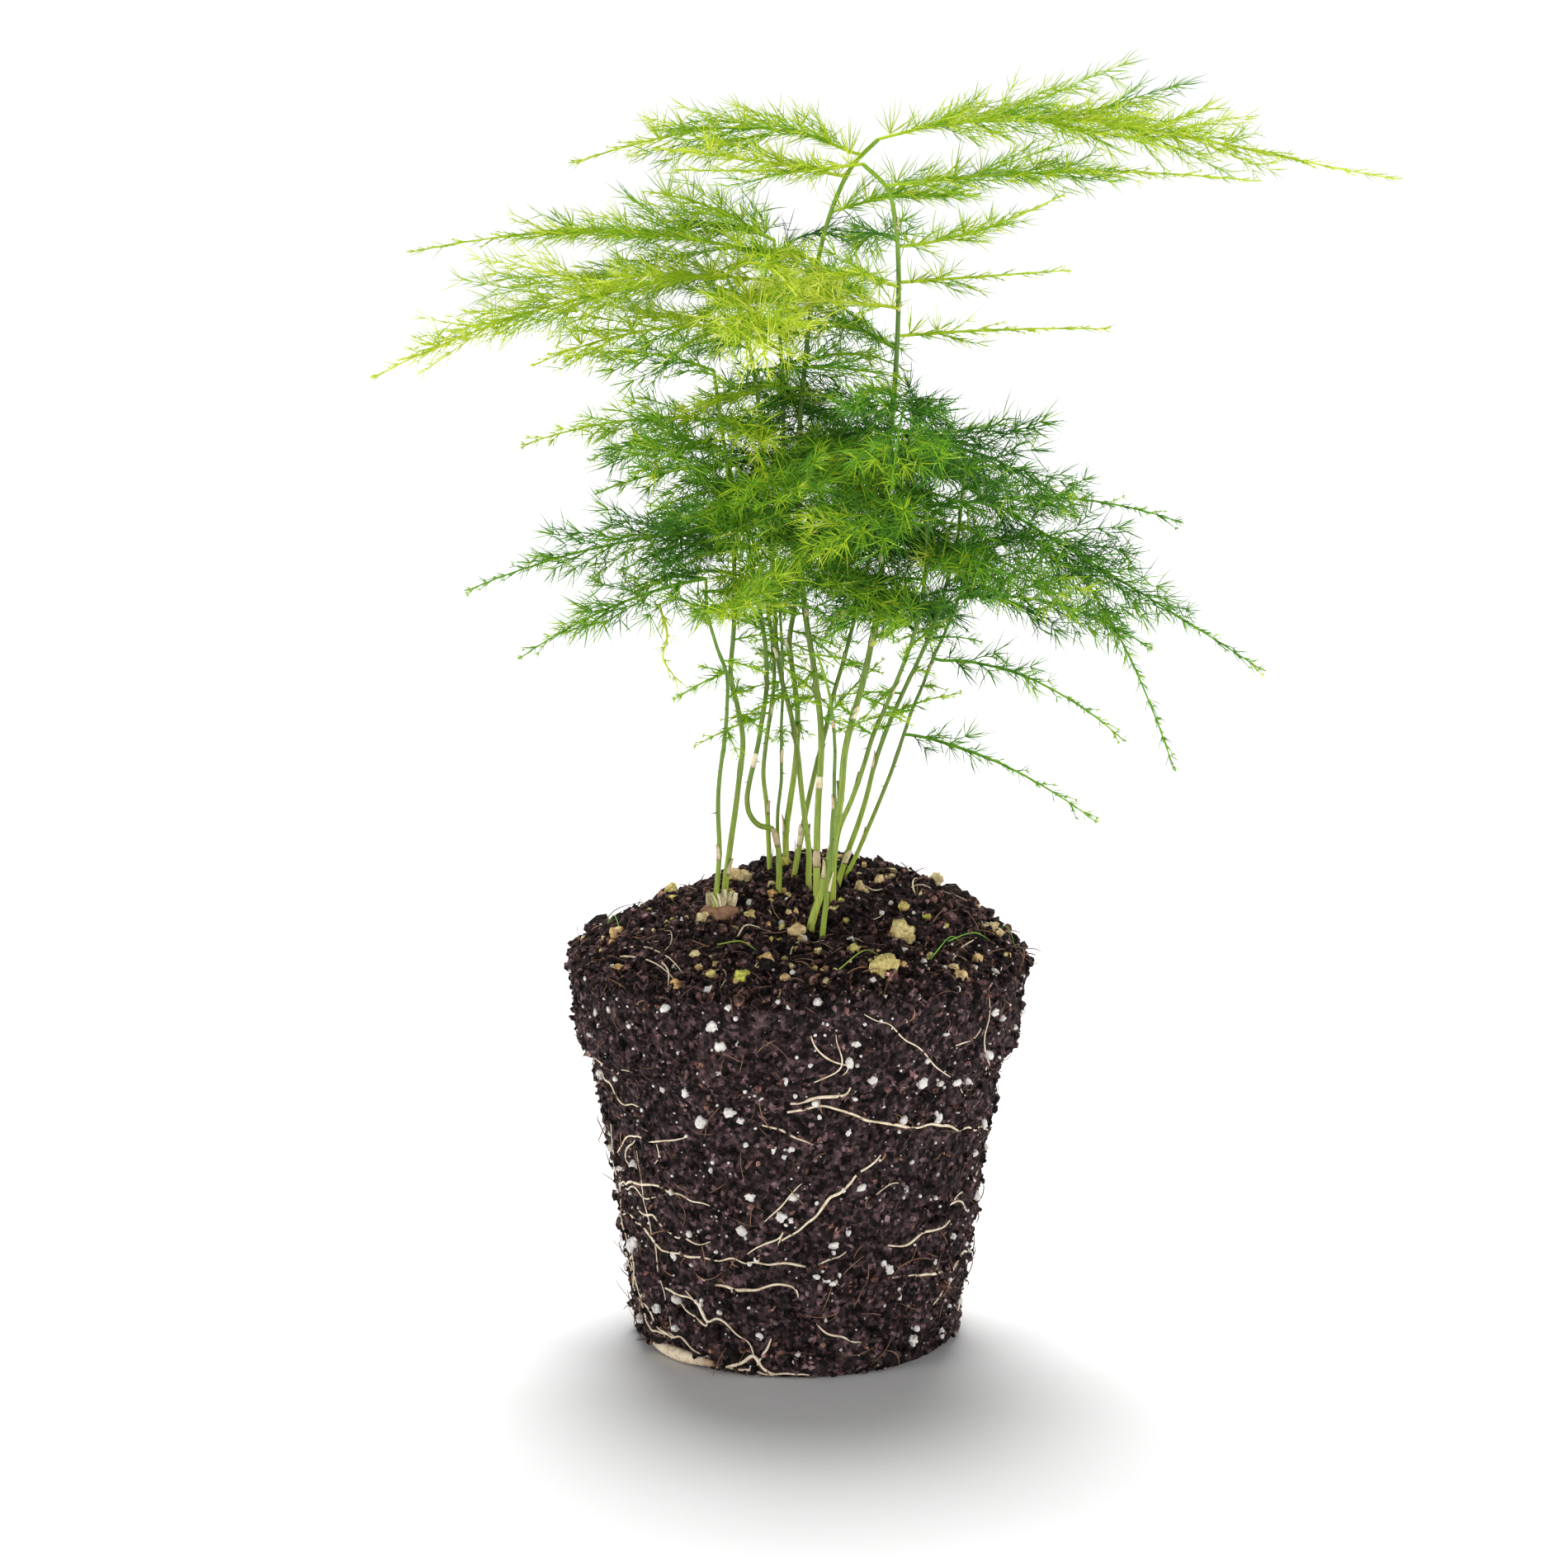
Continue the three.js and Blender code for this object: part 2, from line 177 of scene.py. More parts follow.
def bentRod(base, line, radii):
    # the rod's vertices carried along a line; the line has one point for each ring
    line = np.asarray(line, float)
    radii = np.asarray(radii, float)
    tangent = unit(np.gradient(line, axis=0))
    lean = np.array([1.0, 0.0, 0.0]) if abs(tangent[0][0]) < 0.9 else np.array([0.0, 1.0, 0.0])
    sides = []
    for t in tangent:  # each ring's side is the last one, turned as little as possible
        lean = unit(lean - t * np.dot(lean, t))
        sides.append(lean)
    sides = np.array(sides)
    ups = np.cross(tangent, sides)
    ring = np.rint(base[:, 2] * (len(line) - 1)).astype(int)
    around = sides[ring] * base[:, :1] + ups[ring] * base[:, 1:2]
    return line[ring] + around * radii[ring][:, None]


def lineLength(line):
    return np.linalg.norm(np.diff(line, axis=0), axis=1).sum()


# materials
def nodeOf(tree, kind, **values):
    made = tree.nodes.new(kind)
    for key, value in values.items():
        if key in made.inputs:
            made.inputs[key].default_value = value
        else:
            setattr(made, key, value)
    return made


def newMaterial(name, roughness, **values):
    material = bpy.data.materials.new(name)
    material.use_nodes = True
    tree = material.node_tree
    shader = tree.nodes["Principled BSDF"]
    shader.inputs["Roughness"].default_value = roughness
    for key, value in values.items():
        shader.inputs[key].default_value = value
    return material, tree, shader


def rampOf(tree, source, stops):
    ramp = tree.nodes.new("ShaderNodeValToRGB")
    elements = ramp.color_ramp.elements
    while len(elements) < len(stops):
        elements.new(0.5)
    for element, (place, colour) in zip(elements, stops):
        element.position = place
        element.color = (*colour, 1)
    tree.links.new(source, ramp.inputs["Fac"])
    return ramp.outputs["Color"]


def groupOf(name, inputs, outputs):
    group = bpy.data.node_groups.new(name, "ShaderNodeTree")
    for label, kind, value in inputs:
        socket = group.interface.new_socket(label, in_out="INPUT", socket_type=kind)
        if value is not None:
            socket.default_value = value
    for label, kind in outputs:
        group.interface.new_socket(label, in_out="OUTPUT", socket_type=kind)
    return group, group.nodes.new("NodeGroupInput"), group.nodes.new("NodeGroupOutput")


def useGroup(tree, group, vector=None, **values):
    made = tree.nodes.new("ShaderNodeGroup")
    made.node_tree = group
    for key, value in values.items():
        made.inputs[key].default_value = value
    if vector:
        tree.links.new(vector, made.inputs["Vector"])
    return made


def objectPlace(tree):
    return tree.nodes.new("ShaderNodeTexCoord").outputs["Object"]


def wire(tree, *links):
    # each link is a node and its output, then the next node and its input
    for source, output, target, entry in links:
        tree.links.new(source.outputs[output], target.inputs[entry])


def mathNode(tree, operation, *values):
    # the values are for its inputs after the first
    made = nodeOf(tree, "ShaderNodeMath", operation=operation)
    for entry, value in enumerate(values, 1):
        made.inputs[entry].default_value = value
    return made


def multiplied(tree, first, second):
    mixed = nodeOf(tree, "ShaderNodeMix", data_type="RGBA", blend_type="MULTIPLY", Factor=1.0)
    tree.links.new(first, mixed.inputs["A"])
    tree.links.new(second, mixed.inputs["B"])
    return mixed.outputs["Result"]


def toneTint(tree, colour, stops):
    # a colour tinted by each copy's own tone
    tone = nodeOf(tree, "ShaderNodeAttribute", attribute_name="tone")
    return multiplied(tree, colour, rampOf(tree, tone.outputs["Fac"], stops))


# uneven: a soft patchy mix of two colours over the object, with a coarse and a fine scale
uneven, unevenIn, unevenOut = groupOf(
    "uneven",
    [("Vector", "NodeSocketVector", None), ("Colour A", "NodeSocketColor", None),
     ("Colour B", "NodeSocketColor", None), ("Scale", "NodeSocketFloat", 300.0),
     ("Balance", "NodeSocketFloat", 0.5)],
    [("Colour", "NodeSocketColor"), ("Mask", "NodeSocketFloat")],
)
wide = nodeOf(uneven, "ShaderNodeTexNoise", Detail=5.0, Roughness=0.62)
span = nodeOf(uneven, "ShaderNodeMapRange", interpolation_type="SMOOTHSTEP")
low = mathNode(uneven, "SUBTRACT", 0.16)
high = mathNode(uneven, "ADD", 0.16)
blend = nodeOf(uneven, "ShaderNodeMix", data_type="RGBA")
wire(
    uneven,
    (unevenIn, "Vector", wide, "Vector"), (unevenIn, "Scale", wide, "Scale"), (unevenIn, "Balance", low, 0),
    (unevenIn, "Balance", high, 0), (wide, "Fac", span, "Value"), (low, 0, span, "From Min"),
    (high, 0, span, "From Max"), (span, "Result", blend, "Factor"), (unevenIn, "Colour A", blend, "A"),
    (unevenIn, "Colour B", blend, "B"), (blend, "Result", unevenOut, "Colour"),
    (span, "Result", unevenOut, "Mask"),
)

# grain: a bumpy normal with pits of one size over a finer grit
grain, grainIn, grainOut = groupOf(
    "grain",
    [("Vector", "NodeSocketVector", None), ("Scale", "NodeSocketFloat", 600.0),
     ("Strength", "NodeSocketFloat", 0.5), ("Depth", "NodeSocketFloat", 0.0004)],
    [("Normal", "NodeSocketVector"), ("Height", "NodeSocketFloat")],
)
pits = nodeOf(grain, "ShaderNodeTexVoronoi")
grit = nodeOf(grain, "ShaderNodeTexNoise", Detail=4.0, Roughness=0.7)
finer = mathNode(grain, "MULTIPLY", 2.3)
total = mathNode(grain, "ADD")
raised = nodeOf(grain, "ShaderNodeBump")
wire(
    grain,
    (grainIn, "Vector", pits, "Vector"), (grainIn, "Vector", grit, "Vector"),
    (grainIn, "Scale", pits, "Scale"), (grainIn, "Scale", finer, 0), (finer, 0, grit, "Scale"),
    (pits, "Distance", total, 0),
    (grit, "Fac", total, 1), (total, 0, raised, "Height"), (grainIn, "Strength", raised, "Strength"),
    (grainIn, "Depth", raised, "Distance"), (raised, "Normal", grainOut, "Normal"),
    (total, 0, grainOut, "Height"),
)


def patchesOf(tree, place, colours, scale, balance):
    patches = useGroup(tree, uneven, place, Scale=scale, Balance=balance)
    patches.inputs["Colour A"].default_value = (*colours[0], 1)
    patches.inputs["Colour B"].default_value = (*colours[1], 1)
    return patches


def finishSurface(tree, shader, place, colour, toneStops, bump):
    # if stops are given, each copy is tinted by its own tone
    if toneStops:
        colour = toneTint(tree, colour, toneStops)
    tree.links.new(colour, shader.inputs["Base Color"])
    surface = useGroup(tree, grain, place, Scale=bump[0], Strength=bump[1], Depth=bump[2])
    wire(tree, (surface, "Normal", shader, "Normal"))


def patchyMaterial(name, colours, scale, balance, roughness, bump, toneStops):
    # two patchy colours on a bumpy surface
    material, tree, shader = newMaterial(name, roughness)
    place = objectPlace(tree)
    patches = patchesOf(tree, place, colours, scale, balance)
    finishSurface(tree, shader, place, patches.outputs["Colour"], toneStops, bump)
    return material


# the tone of each needle runs from old and deep green to young and yellow
foliageLook = {
    "roughness": 0.55,
    "patchScale": 90.0,
    "patchShift": 0.3,  # how far a patch moves the tone
    "stops": [
        (0.0, (0.015, 0.078, 0.005)), (0.2, (0.054, 0.198, 0.011)), (0.4, (0.142, 0.345, 0.014)),
        (0.6, (0.33, 0.50, 0.013)), (0.8, (0.52, 0.63, 0.026)), (1.0, (0.70, 0.75, 0.13)),
    ],
}


def foliageMaterial():
    material, tree, shader = newMaterial("needles", foliageLook["roughness"], **{"Specular IOR Level": 0.18})
    place = objectPlace(tree)
    tone = nodeOf(tree, "ShaderNodeAttribute", attribute_name="tone")
    patch = nodeOf(tree, "ShaderNodeTexNoise", Scale=foliageLook["patchScale"], Detail=3.0)
    shift = mathNode(tree, "MULTIPLY_ADD", foliageLook["patchShift"], -foliageLook["patchShift"] / 2)
    total = mathNode(tree, "ADD")
    tree.links.new(place, patch.inputs["Vector"])
    wire(tree, (patch, "Fac", shift, 0), (tone, "Fac", total, 0), (shift, 0, total, 1))
    tree.links.new(rampOf(tree, total.outputs[0], foliageLook["stops"]), shader.inputs["Base Color"])
    return material


# pale yellow-green at the foot, deeper above, with fine streaks along the stem
stemLook = {
    "roughness": 0.42,
    "streakScale": 2200.0,
    "stops": [
        (0.0, (0.40, 0.45, 0.08)), (0.12, (0.25, 0.35, 0.035)), (0.35, (0.14, 0.22, 0.03)),
        (0.75, (0.09, 0.19, 0.022)), (1.0, (0.22, 0.40, 0.02)),
    ],
    "streaks": [(0.3, (0.7, 0.7, 0.66)), (0.7, (1.25, 1.2, 1.1))],
}


def stemMaterial():
    material, tree, shader = newMaterial("stemSkin", stemLook["roughness"], **{"Specular IOR Level": 0.3})
    place = objectPlace(tree)
    tone = nodeOf(tree, "ShaderNodeAttribute", attribute_name="tone")
    streakPlace = nodeOf(tree, "ShaderNodeMapping", Scale=(1.0, 1.0, 0.06))
    streak = nodeOf(tree, "ShaderNodeTexNoise", Scale=stemLook["streakScale"], Detail=3.0)
    tree.links.new(place, streakPlace.inputs["Vector"])
    wire(tree, (streakPlace, "Vector", streak, "Vector"))
    base = rampOf(tree, tone.outputs["Fac"], stemLook["stops"])
    streakTint = rampOf(tree, streak.outputs["Fac"], stemLook["streaks"])
    tree.links.new(multiplied(tree, base, streakTint), shader.inputs["Base Color"])
    raised = nodeOf(tree, "ShaderNodeBump", Strength=0.35, Distance=0.0001)
    wire(tree, (streak, "Fac", raised, "Height"), (raised, "Normal", shader, "Normal"))
    return material


# near-black peat with brown fibres and lighter flecks
peatLook = {
    "roughness": 0.8,
    "colours": [(0.012, 0.007, 0.0075), (0.070, 0.049, 0.053)],
    "patchScale": 420.0,
    "fleckScale": 900.0,
    "flecks": [
        (0.0, (0.12, 0.12, 0.12)), (0.45, (0.8, 0.76, 0.76)), (0.8, (2.0, 1.75, 1.7)),
        (0.95, (3.6, 3.1, 3.0)), (1.0, (7.0, 6.4, 6.3)),
    ],
    "bump": (850.0, 1.0, 0.0011),  # scale, strength and depth in metres
    "bitTones": [(0.0, (0.35, 0.35, 0.35)), (0.6, (1.5, 1.4, 1.3)), (1.0, (3.5, 2.9, 2.0))],
}


def peatMaterial(name, toneStops=None):
    material, tree, shader = newMaterial(name, peatLook["roughness"], **{"Specular IOR Level": 0.12})
    place = objectPlace(tree)
    patches = patchesOf(tree, place, peatLook["colours"], peatLook["patchScale"], 0.5)
    bits = nodeOf(tree, "ShaderNodeTexVoronoi", Scale=peatLook["fleckScale"])
    tree.links.new(place, bits.inputs["Vector"])
    apart = nodeOf(tree, "ShaderNodeSeparateColor")
    wire(tree, (bits, "Color", apart, "Color"))
    tint = rampOf(tree, apart.outputs["Red"], peatLook["flecks"])
    colour = multiplied(tree, patches.outputs["Colour"], tint)
    finishSurface(tree, shader, place, colour, toneStops, peatLook["bump"])
    return material


white = (1.0, 1.0, 1.0)
patchyLooks = {
    "fibre": {
        "colours": [(0.16, 0.085, 0.05), (0.30, 0.17, 0.10)],
        "scale": 300.0, "balance": 0.5, "roughness": 0.75, "bump": (1500.0, 0.3, 0.0001),
        "toneStops": [(0.0, (0.3, 0.28, 0.26)), (0.7, white), (1.0, (1.9, 1.7, 1.4))],
    },
    "perlite": {
        "colours": [(0.55, 0.50, 0.45), (0.86, 0.83, 0.79)],
        "scale": 900.0, "balance": 0.42, "roughness": 0.8, "bump": (1800.0, 0.8, 0.0003),
        "toneStops": [(0.0, (0.62, 0.55, 0.48)), (0.5, white), (1.0, white)],
    },
    "pumice": {
        "colours": [(0.40, 0.25, 0.07), (0.90, 0.76, 0.42)],
        "scale": 700.0, "balance": 0.47, "roughness": 0.82, "bump": (1200.0, 0.9, 0.0005),
        "toneStops": [
            (0.0, (0.95, 0.66, 0.46)), (0.4, white), (0.7, (0.95, 0.95, 0.42)), (1.0, (0.62, 0.95, 0.16)),
        ],
    },
    "rootSkin": {
        "colours": [(0.50, 0.36, 0.22), (0.80, 0.68, 0.50)],
        "scale": 500.0, "balance": 0.44, "roughness": 0.6, "bump": (1400.0, 0.4, 0.0002),
        "toneStops": [(0.0, (0.45, 0.33, 0.25)), (0.5, white), (1.0, (1.12, 1.14, 1.16))],
    },
    "papery": {
        "colours": [(0.52, 0.40, 0.20), (0.80, 0.72, 0.50)],
        "scale": 600.0, "balance": 0.46, "roughness": 0.62, "bump": (1800.0, 0.5, 0.0002),
        "toneStops": [(0.0, (0.55, 0.42, 0.30)), (0.5, white), (1.0, (1.1, 1.12, 1.12))],
    },
    "blade": {
        "colours": [(0.10, 0.30, 0.03), (0.22, 0.48, 0.05)],
        "scale": 200.0, "balance": 0.5, "roughness": 0.5, "bump": (900.0, 0.2, 0.0001),
        "toneStops": [(0.0, (1.9, 0.9, 0.9)), (0.5, white), (1.0, (1.5, 1.3, 1.0))],
    },
}
needleMaterial = foliageMaterial()
stemSkin = stemMaterial()
peat = peatMaterial("peat")
peatBits = peatMaterial("peatBits", peatLook["bitTones"])
patchy = {name: patchyMaterial(name, **look) for name, look in patchyLooks.items()}
print("materials made")


# the lines of the frame's stems and fronds
def stemLine(name):
    # the middle of each ring of the CAD stem, from its foot up
    bm = welded(nodes[name].data)
    caps = [v for v in bm.verts if min(f.normal.dot(v.link_faces[0].normal) for f in v.link_faces) > 0.999]
    start = min(caps, key=lambda v: v.co.z)
    seen = {start}
    level = [start]
    middles = []
    radii = []
    while level:
        middle = sum((v.co for v in level), Vector()) / len(level)
        middles.append(np.array(middle))
        radii.append(np.mean([(v.co - middle).length for v in level]))
        ahead = []
        for v in level:
            for edge in v.link_edges:
                other = edge.other_vert(v)
                if other not in seen:
                    seen.add(other)
                    ahead.append(other)
        level = ahead
    bm.free()
    return np.array(middles[1:-1]), np.array(radii[1:-1])


def frondLine(name, carrier):
    # the middle line of a CAD frond from its stem to its tip, the direction of its breadth and its half width
    co, tris = coordsOf(nodes[name].data), trisOf(nodes[name].data)
    gaps = np.linalg.norm(co[:, None, :] - carrier[None], axis=2)
    nearVertex, nearPoint = np.unravel_index(np.argmin(gaps), gaps.shape)
    root = co[nearVertex]
    away = np.linalg.norm(co[:, :2] - root[:2], axis=1)
    tip = co[np.argmax(away)]
    heading = np.array([*(tip[:2] - root[:2]), 0.0])
    reach = np.linalg.norm(heading)
    heading /= reach
    level = np.array([heading[1], -heading[0], 0.0])
    along = (co - root) @ heading
    section = np.stack([(co - root) @ level, co[:, 2]], 1)
    points = [carrier[nearPoint]]
    widest = np.zeros(2)
    for t in np.linspace(0.04, 0.985, 11):
        cut = [np.empty((0, 2))]
        for a, b in ((0, 1), (1, 2), (2, 0)):
            i, j = tris[:, a], tris[:, b]
            da, db = along[i] - reach * t, along[j] - reach * t
            hit = da * db < 0
            share = (da[hit] / (da[hit] - db[hit]))[:, None]
            cut.append(section[i[hit]] * (1 - share) + section[j[hit]] * share)
        cut = np.vstack(cut)
        if not len(cut):
            continue
        first, last = cut[np.argmin(cut[:, 0])], cut[np.argmax(cut[:, 0])]
        points.append(root + heading * reach * t)
        points[-1][2] = (first[1] + last[1]) / 2
        if np.linalg.norm(last - first) > np.linalg.norm(widest):
            widest = last - first
    points.append(tip)
    half = np.linalg.norm(widest) / 2
    side = unit(level * widest[0] + up * widest[1])
    return smoothLine(points, 40), side, half


# stems
stemStyle = {
    "sides": 10,
    "ringStep": 1.1 * mm,
    "nodeSpacing": (19 * mm, 27 * mm),
    "firstNode": (16 * mm, 26 * mm),
    "swelling": 0.16,  # how much thicker the stem is at a joint
    "wobble": 0.16 * mm,
    "thornFrom": 0.35,  # share of the stem's height
    "thornStep": 5.5 * mm,
    "thornReach": (1.2 * mm, 2.8 * mm),
    "thornRadius": [0.3 * mm, 0.2 * mm, 0.05 * mm],
}
stemRandom = np.random.default_rng(7)
stemLines = {}
scaleSpots = []
thornShape = rodShape("thorn", 5, 3, pointed=True)
thornBase = coordsOf(thornShape)
for key in "abcdefghijklmn":
    cadLine, cadRadii = stemLine(f"stem_{key}")
    length = lineLength(cadLine)
    rings = max(12, int(length / stemStyle["ringStep"]))
    line = smoothLine(cadLine, rings)
    share = np.linspace(0, 1, rings)
    radii = np.interp(share, np.linspace(0, 1, len(cadRadii)), cadRadii)
    # small joints along the stem, each with a papery scale
    place = stemRandom.uniform(*stemStyle["firstNode"])
    swell = np.zeros(rings)
    while place < length * 0.97:
        at = place / length
        swell += np.exp(-(((share - at) * length) / (0.9 * mm)) ** 2)
        scaleSpots.append((key, at, np.interp(at, share, radii)))
        place += stemRandom.uniform(*stemStyle["nodeSpacing"])
    radii = radii * (1 + stemStyle["swelling"] * swell)
    bends = [stemRandom.normal(0, stemStyle["wobble"], 14) for _ in range(3)]
    wobble = np.stack([np.interp(share, np.linspace(0, 1, 14), bend) for bend in bends], 1)
    line = line + wobble * np.sin(np.pi * share)[:, None]
    stemLines[key] = line
    shape = rodShape("rod", stemStyle["sides"], rings)
    base = coordsOf(shape)
    placed = bentRod(base, line, radii)
    tones = share[np.rint(base[:, 2] * (rings - 1)).astype(int)]
    stalk = scattered(f"stem{key}", shape, [placed], {"tone": tones[None]})
    # thorn stubs on the upper stem
    thorns = []
    for at in np.arange(stemStyle["thornFrom"], 0.98, stemStyle["thornStep"] / length):
        turn = stemRandom.uniform(0, 2 * math.pi)
        spot = np.array([np.interp(at, share, line[:, k]) for k in range(3)])
        out = np.array([math.cos(turn), math.sin(turn), stemRandom.uniform(-0.5, 0.3)])
        out *= stemRandom.uniform(*stemStyle["thornReach"])
        thorns.append(bentRod(thornBase, [spot, spot + out * 0.5, spot + out], stemStyle["thornRadius"]))
    spikes = scattered("spikes", thornShape, thorns, {"tone": np.full(len(thorns), 0.8)})
    addPiece(f"stem_{key}_detail", joined(f"stem{key}", [stalk, spikes]), stemSkin, [f"stem_{key}"])
print("stems made:", len(stemLines))


# papery scales at the stems' joints and round the left rootstock
scaleStyle = {"length": (2.2 * mm, 4.8 * mm), "tone": (0.1, 0.85)}


def scaleShape():
    # a pointed leaf of unit length, curled round the upright axis
    bm = bmesh.new()
    bmesh.ops.create_grid(bm, x_segments=6, y_segments=5, size=1)
    for v in bm.verts:
        along = (v.co.y + 1) / 2
        turn = v.co.x * 1.25 * math.cos(along * 1.35) ** 0.7
        flare = 1.12 + 0.55 * along**2
        v.co = (math.sin(turn) * flare, -math.cos(turn) * flare, along)
    bmesh.ops.solidify(bm, geom=bm.faces[:], thickness=0.06)
    bmesh.ops.recalc_face_normals(bm, faces=bm.faces[:])
    return toMesh(bm, "scale")


leafScale = scaleShape()
scaleBase = coordsOf(leafScale)
scalesPlaced = []
scaleTones = []


def placeScale(spot, axis, turn, radius, length, tone):
    axis = unit(axis)
    side = unit(np.cross(axis, [math.cos(turn), math.sin(turn), 0.0]))
    front = np.cross(side, axis)
    local = side * scaleBase[:, :1] * radius + front * scaleBase[:, 1:2] * radius
    scalesPlaced.append(spot + local + axis * scaleBase[:, 2:] * length)
    scaleTones.append(tone)


for key, at, radius in scaleSpots:
    line = stemLines[key]
    k = int(at * (len(line) - 1))
    axis = line[min(k + 3, len(line) - 1)] - line[max(k - 3, 0)]
    size = stemRandom.uniform(*scaleStyle["length"]) * (1.25 - 0.5 * at)
    foot = line[k] - unit(axis) * 0.4 * mm
    placeScale(foot, axis, stemRandom.uniform(0, 6.28), radius, size, stemRandom.uniform(*scaleStyle["tone"]))
print("stem scales placed:", len(scalesPlaced))


# fronds
frondStyle = {
    "branchStep": 6.2 * mm,
    "tuftStep": 3.4 * mm,
    "needle": 8.6 * mm,
    "needleRadius": 0.21 * mm,
    "needlesPerTuft": 6,
    "needlesPerYoungTuft": 4,
    "needlesPerStar": 12,
    "rosetteStep": 7 * mm,
    "opening": [70, 54, 32],  # degrees from the rib at the foot, the middle and the tip
    "firstBranch": (2.5 * mm, 5 * mm),
    "shortest": 1.6 * mm,  # a branchlet shorter than this is only a tuft
    "ribRadius": [0.46 * mm, 0.32 * mm, 0.16 * mm],
    "branchletRadius": 0.25 * mm,
    "twigRadius": 0.18 * mm,
    "firstTwig": (2.6, 4.0),  # millimetres along the branchlet
    "twigStep": (4.2, 6.0),
    "ribTuftStep": 5.0 * mm,
}
needleShape = rodShape("needle", 3, 3, pointed=True)
needleBase = coordsOf(needleShape)
needleBase[:, :2] *= np.interp(needleBase[:, 2:], [0, 0.5, 1], [0.6, 1.4, 1])  # full width until near the tip
twigShape = rodShape("twig", 3, 5)
twigBase = coordsOf(twigShape)
ribShape = rodShape("rib", 5, 40)
ribBase = coordsOf(ribShape)


def pointAt(s, run, values):
    return np.array([np.interp(s, run, values[:, k]) for k in range(3)])


def atHeight(line, height):
    return line[len(line) - 1 - np.argmin(np.abs(line[::-1, 2] - height))]


def branchCurve(start, aim, along, reach, bend, droop):
    t = np.linspace(0, 1, 5)[:, None]
    return start + unit(aim) * reach * t + (along * bend - up * droop) * reach * t**2


def tufts(line, step, first, longest, tone, random):
    # places for tufts along a line: (place, axis, needle length, tone)
    length = lineLength(line)
    run = np.linspace(0, length, len(line))
    tangent = unit(np.gradient(line, axis=0))
    found = []
    for s in np.arange(first, length - step * 0.4, step):
        fade = 1 - 0.25 * (s / length) ** 2
        size = longest * fade * random.uniform(0.8, 1.12)
        found.append((pointAt(s, run, line), unit(pointAt(s, run, tangent)), size, tone))
    return found


def needlesOf(found, perTuft, random, spread):
    # every needle's vertices at once, from the list of tufts
    spots = np.array([f[0] for f in found])
    axes = np.array([f[1] for f in found])
    lengths = np.array([f[2] for f in found])
    tones = np.array([f[3] for f in found])
    count = len(found)
    sideA = unit(np.cross(axes, unit(random.normal(size=(count, 3)))))
    sideB = np.cross(axes, sideA)
    turn = (np.arange(perTuft)[None] + random.uniform(0, 1, (count, 1))) / perTuft * 2 * math.pi
    turn = turn + random.uniform(-0.45, 0.45, (count, perTuft))
    lean = random.uniform(*spread, (count, perTuft))
    radial = sideA[:, None] * np.cos(turn)[..., None] + sideB[:, None] * np.sin(turn)[..., None]
    heading = axes[:, None] * np.cos(lean)[..., None] + radial * np.sin(lean)[..., None]
    size = (lengths[:, None] * random.uniform(0.65, 1.12, (count, perTuft))).reshape(-1)
    heading = heading.reshape(-1, 3)
    start = np.repeat(spots, perTuft, axis=0)
    bend = np.repeat(axes, perTuft, axis=0) * 0.12 + random.normal(0, 0.11, (len(start), 3))
    a = unit(np.cross(heading, np.array([0.3, 0.5, 0.81])))
    b = np.cross(heading, a)
    width = frondStyle["needleRadius"] * np.clip(size / frondStyle["needle"], 0.5, 1.0) ** 0.5
    z = needleBase[:, 2][None, :, None]
    ring = a[:, None] * needleBase[:, 0][None, :, None] + b[:, None] * needleBase[:, 1][None, :, None]
    body = start[:, None] + (heading[:, None] * z + bend[:, None] * z**2) * size[:, None, None]
    body = body + ring * width[:, None, None]
    shade = np.repeat(tones, perTuft) + random.normal(0, 0.13, len(start))
    return body, shade[:, None] + 0.12 * (0.5 - needleBase[:, 2][None])


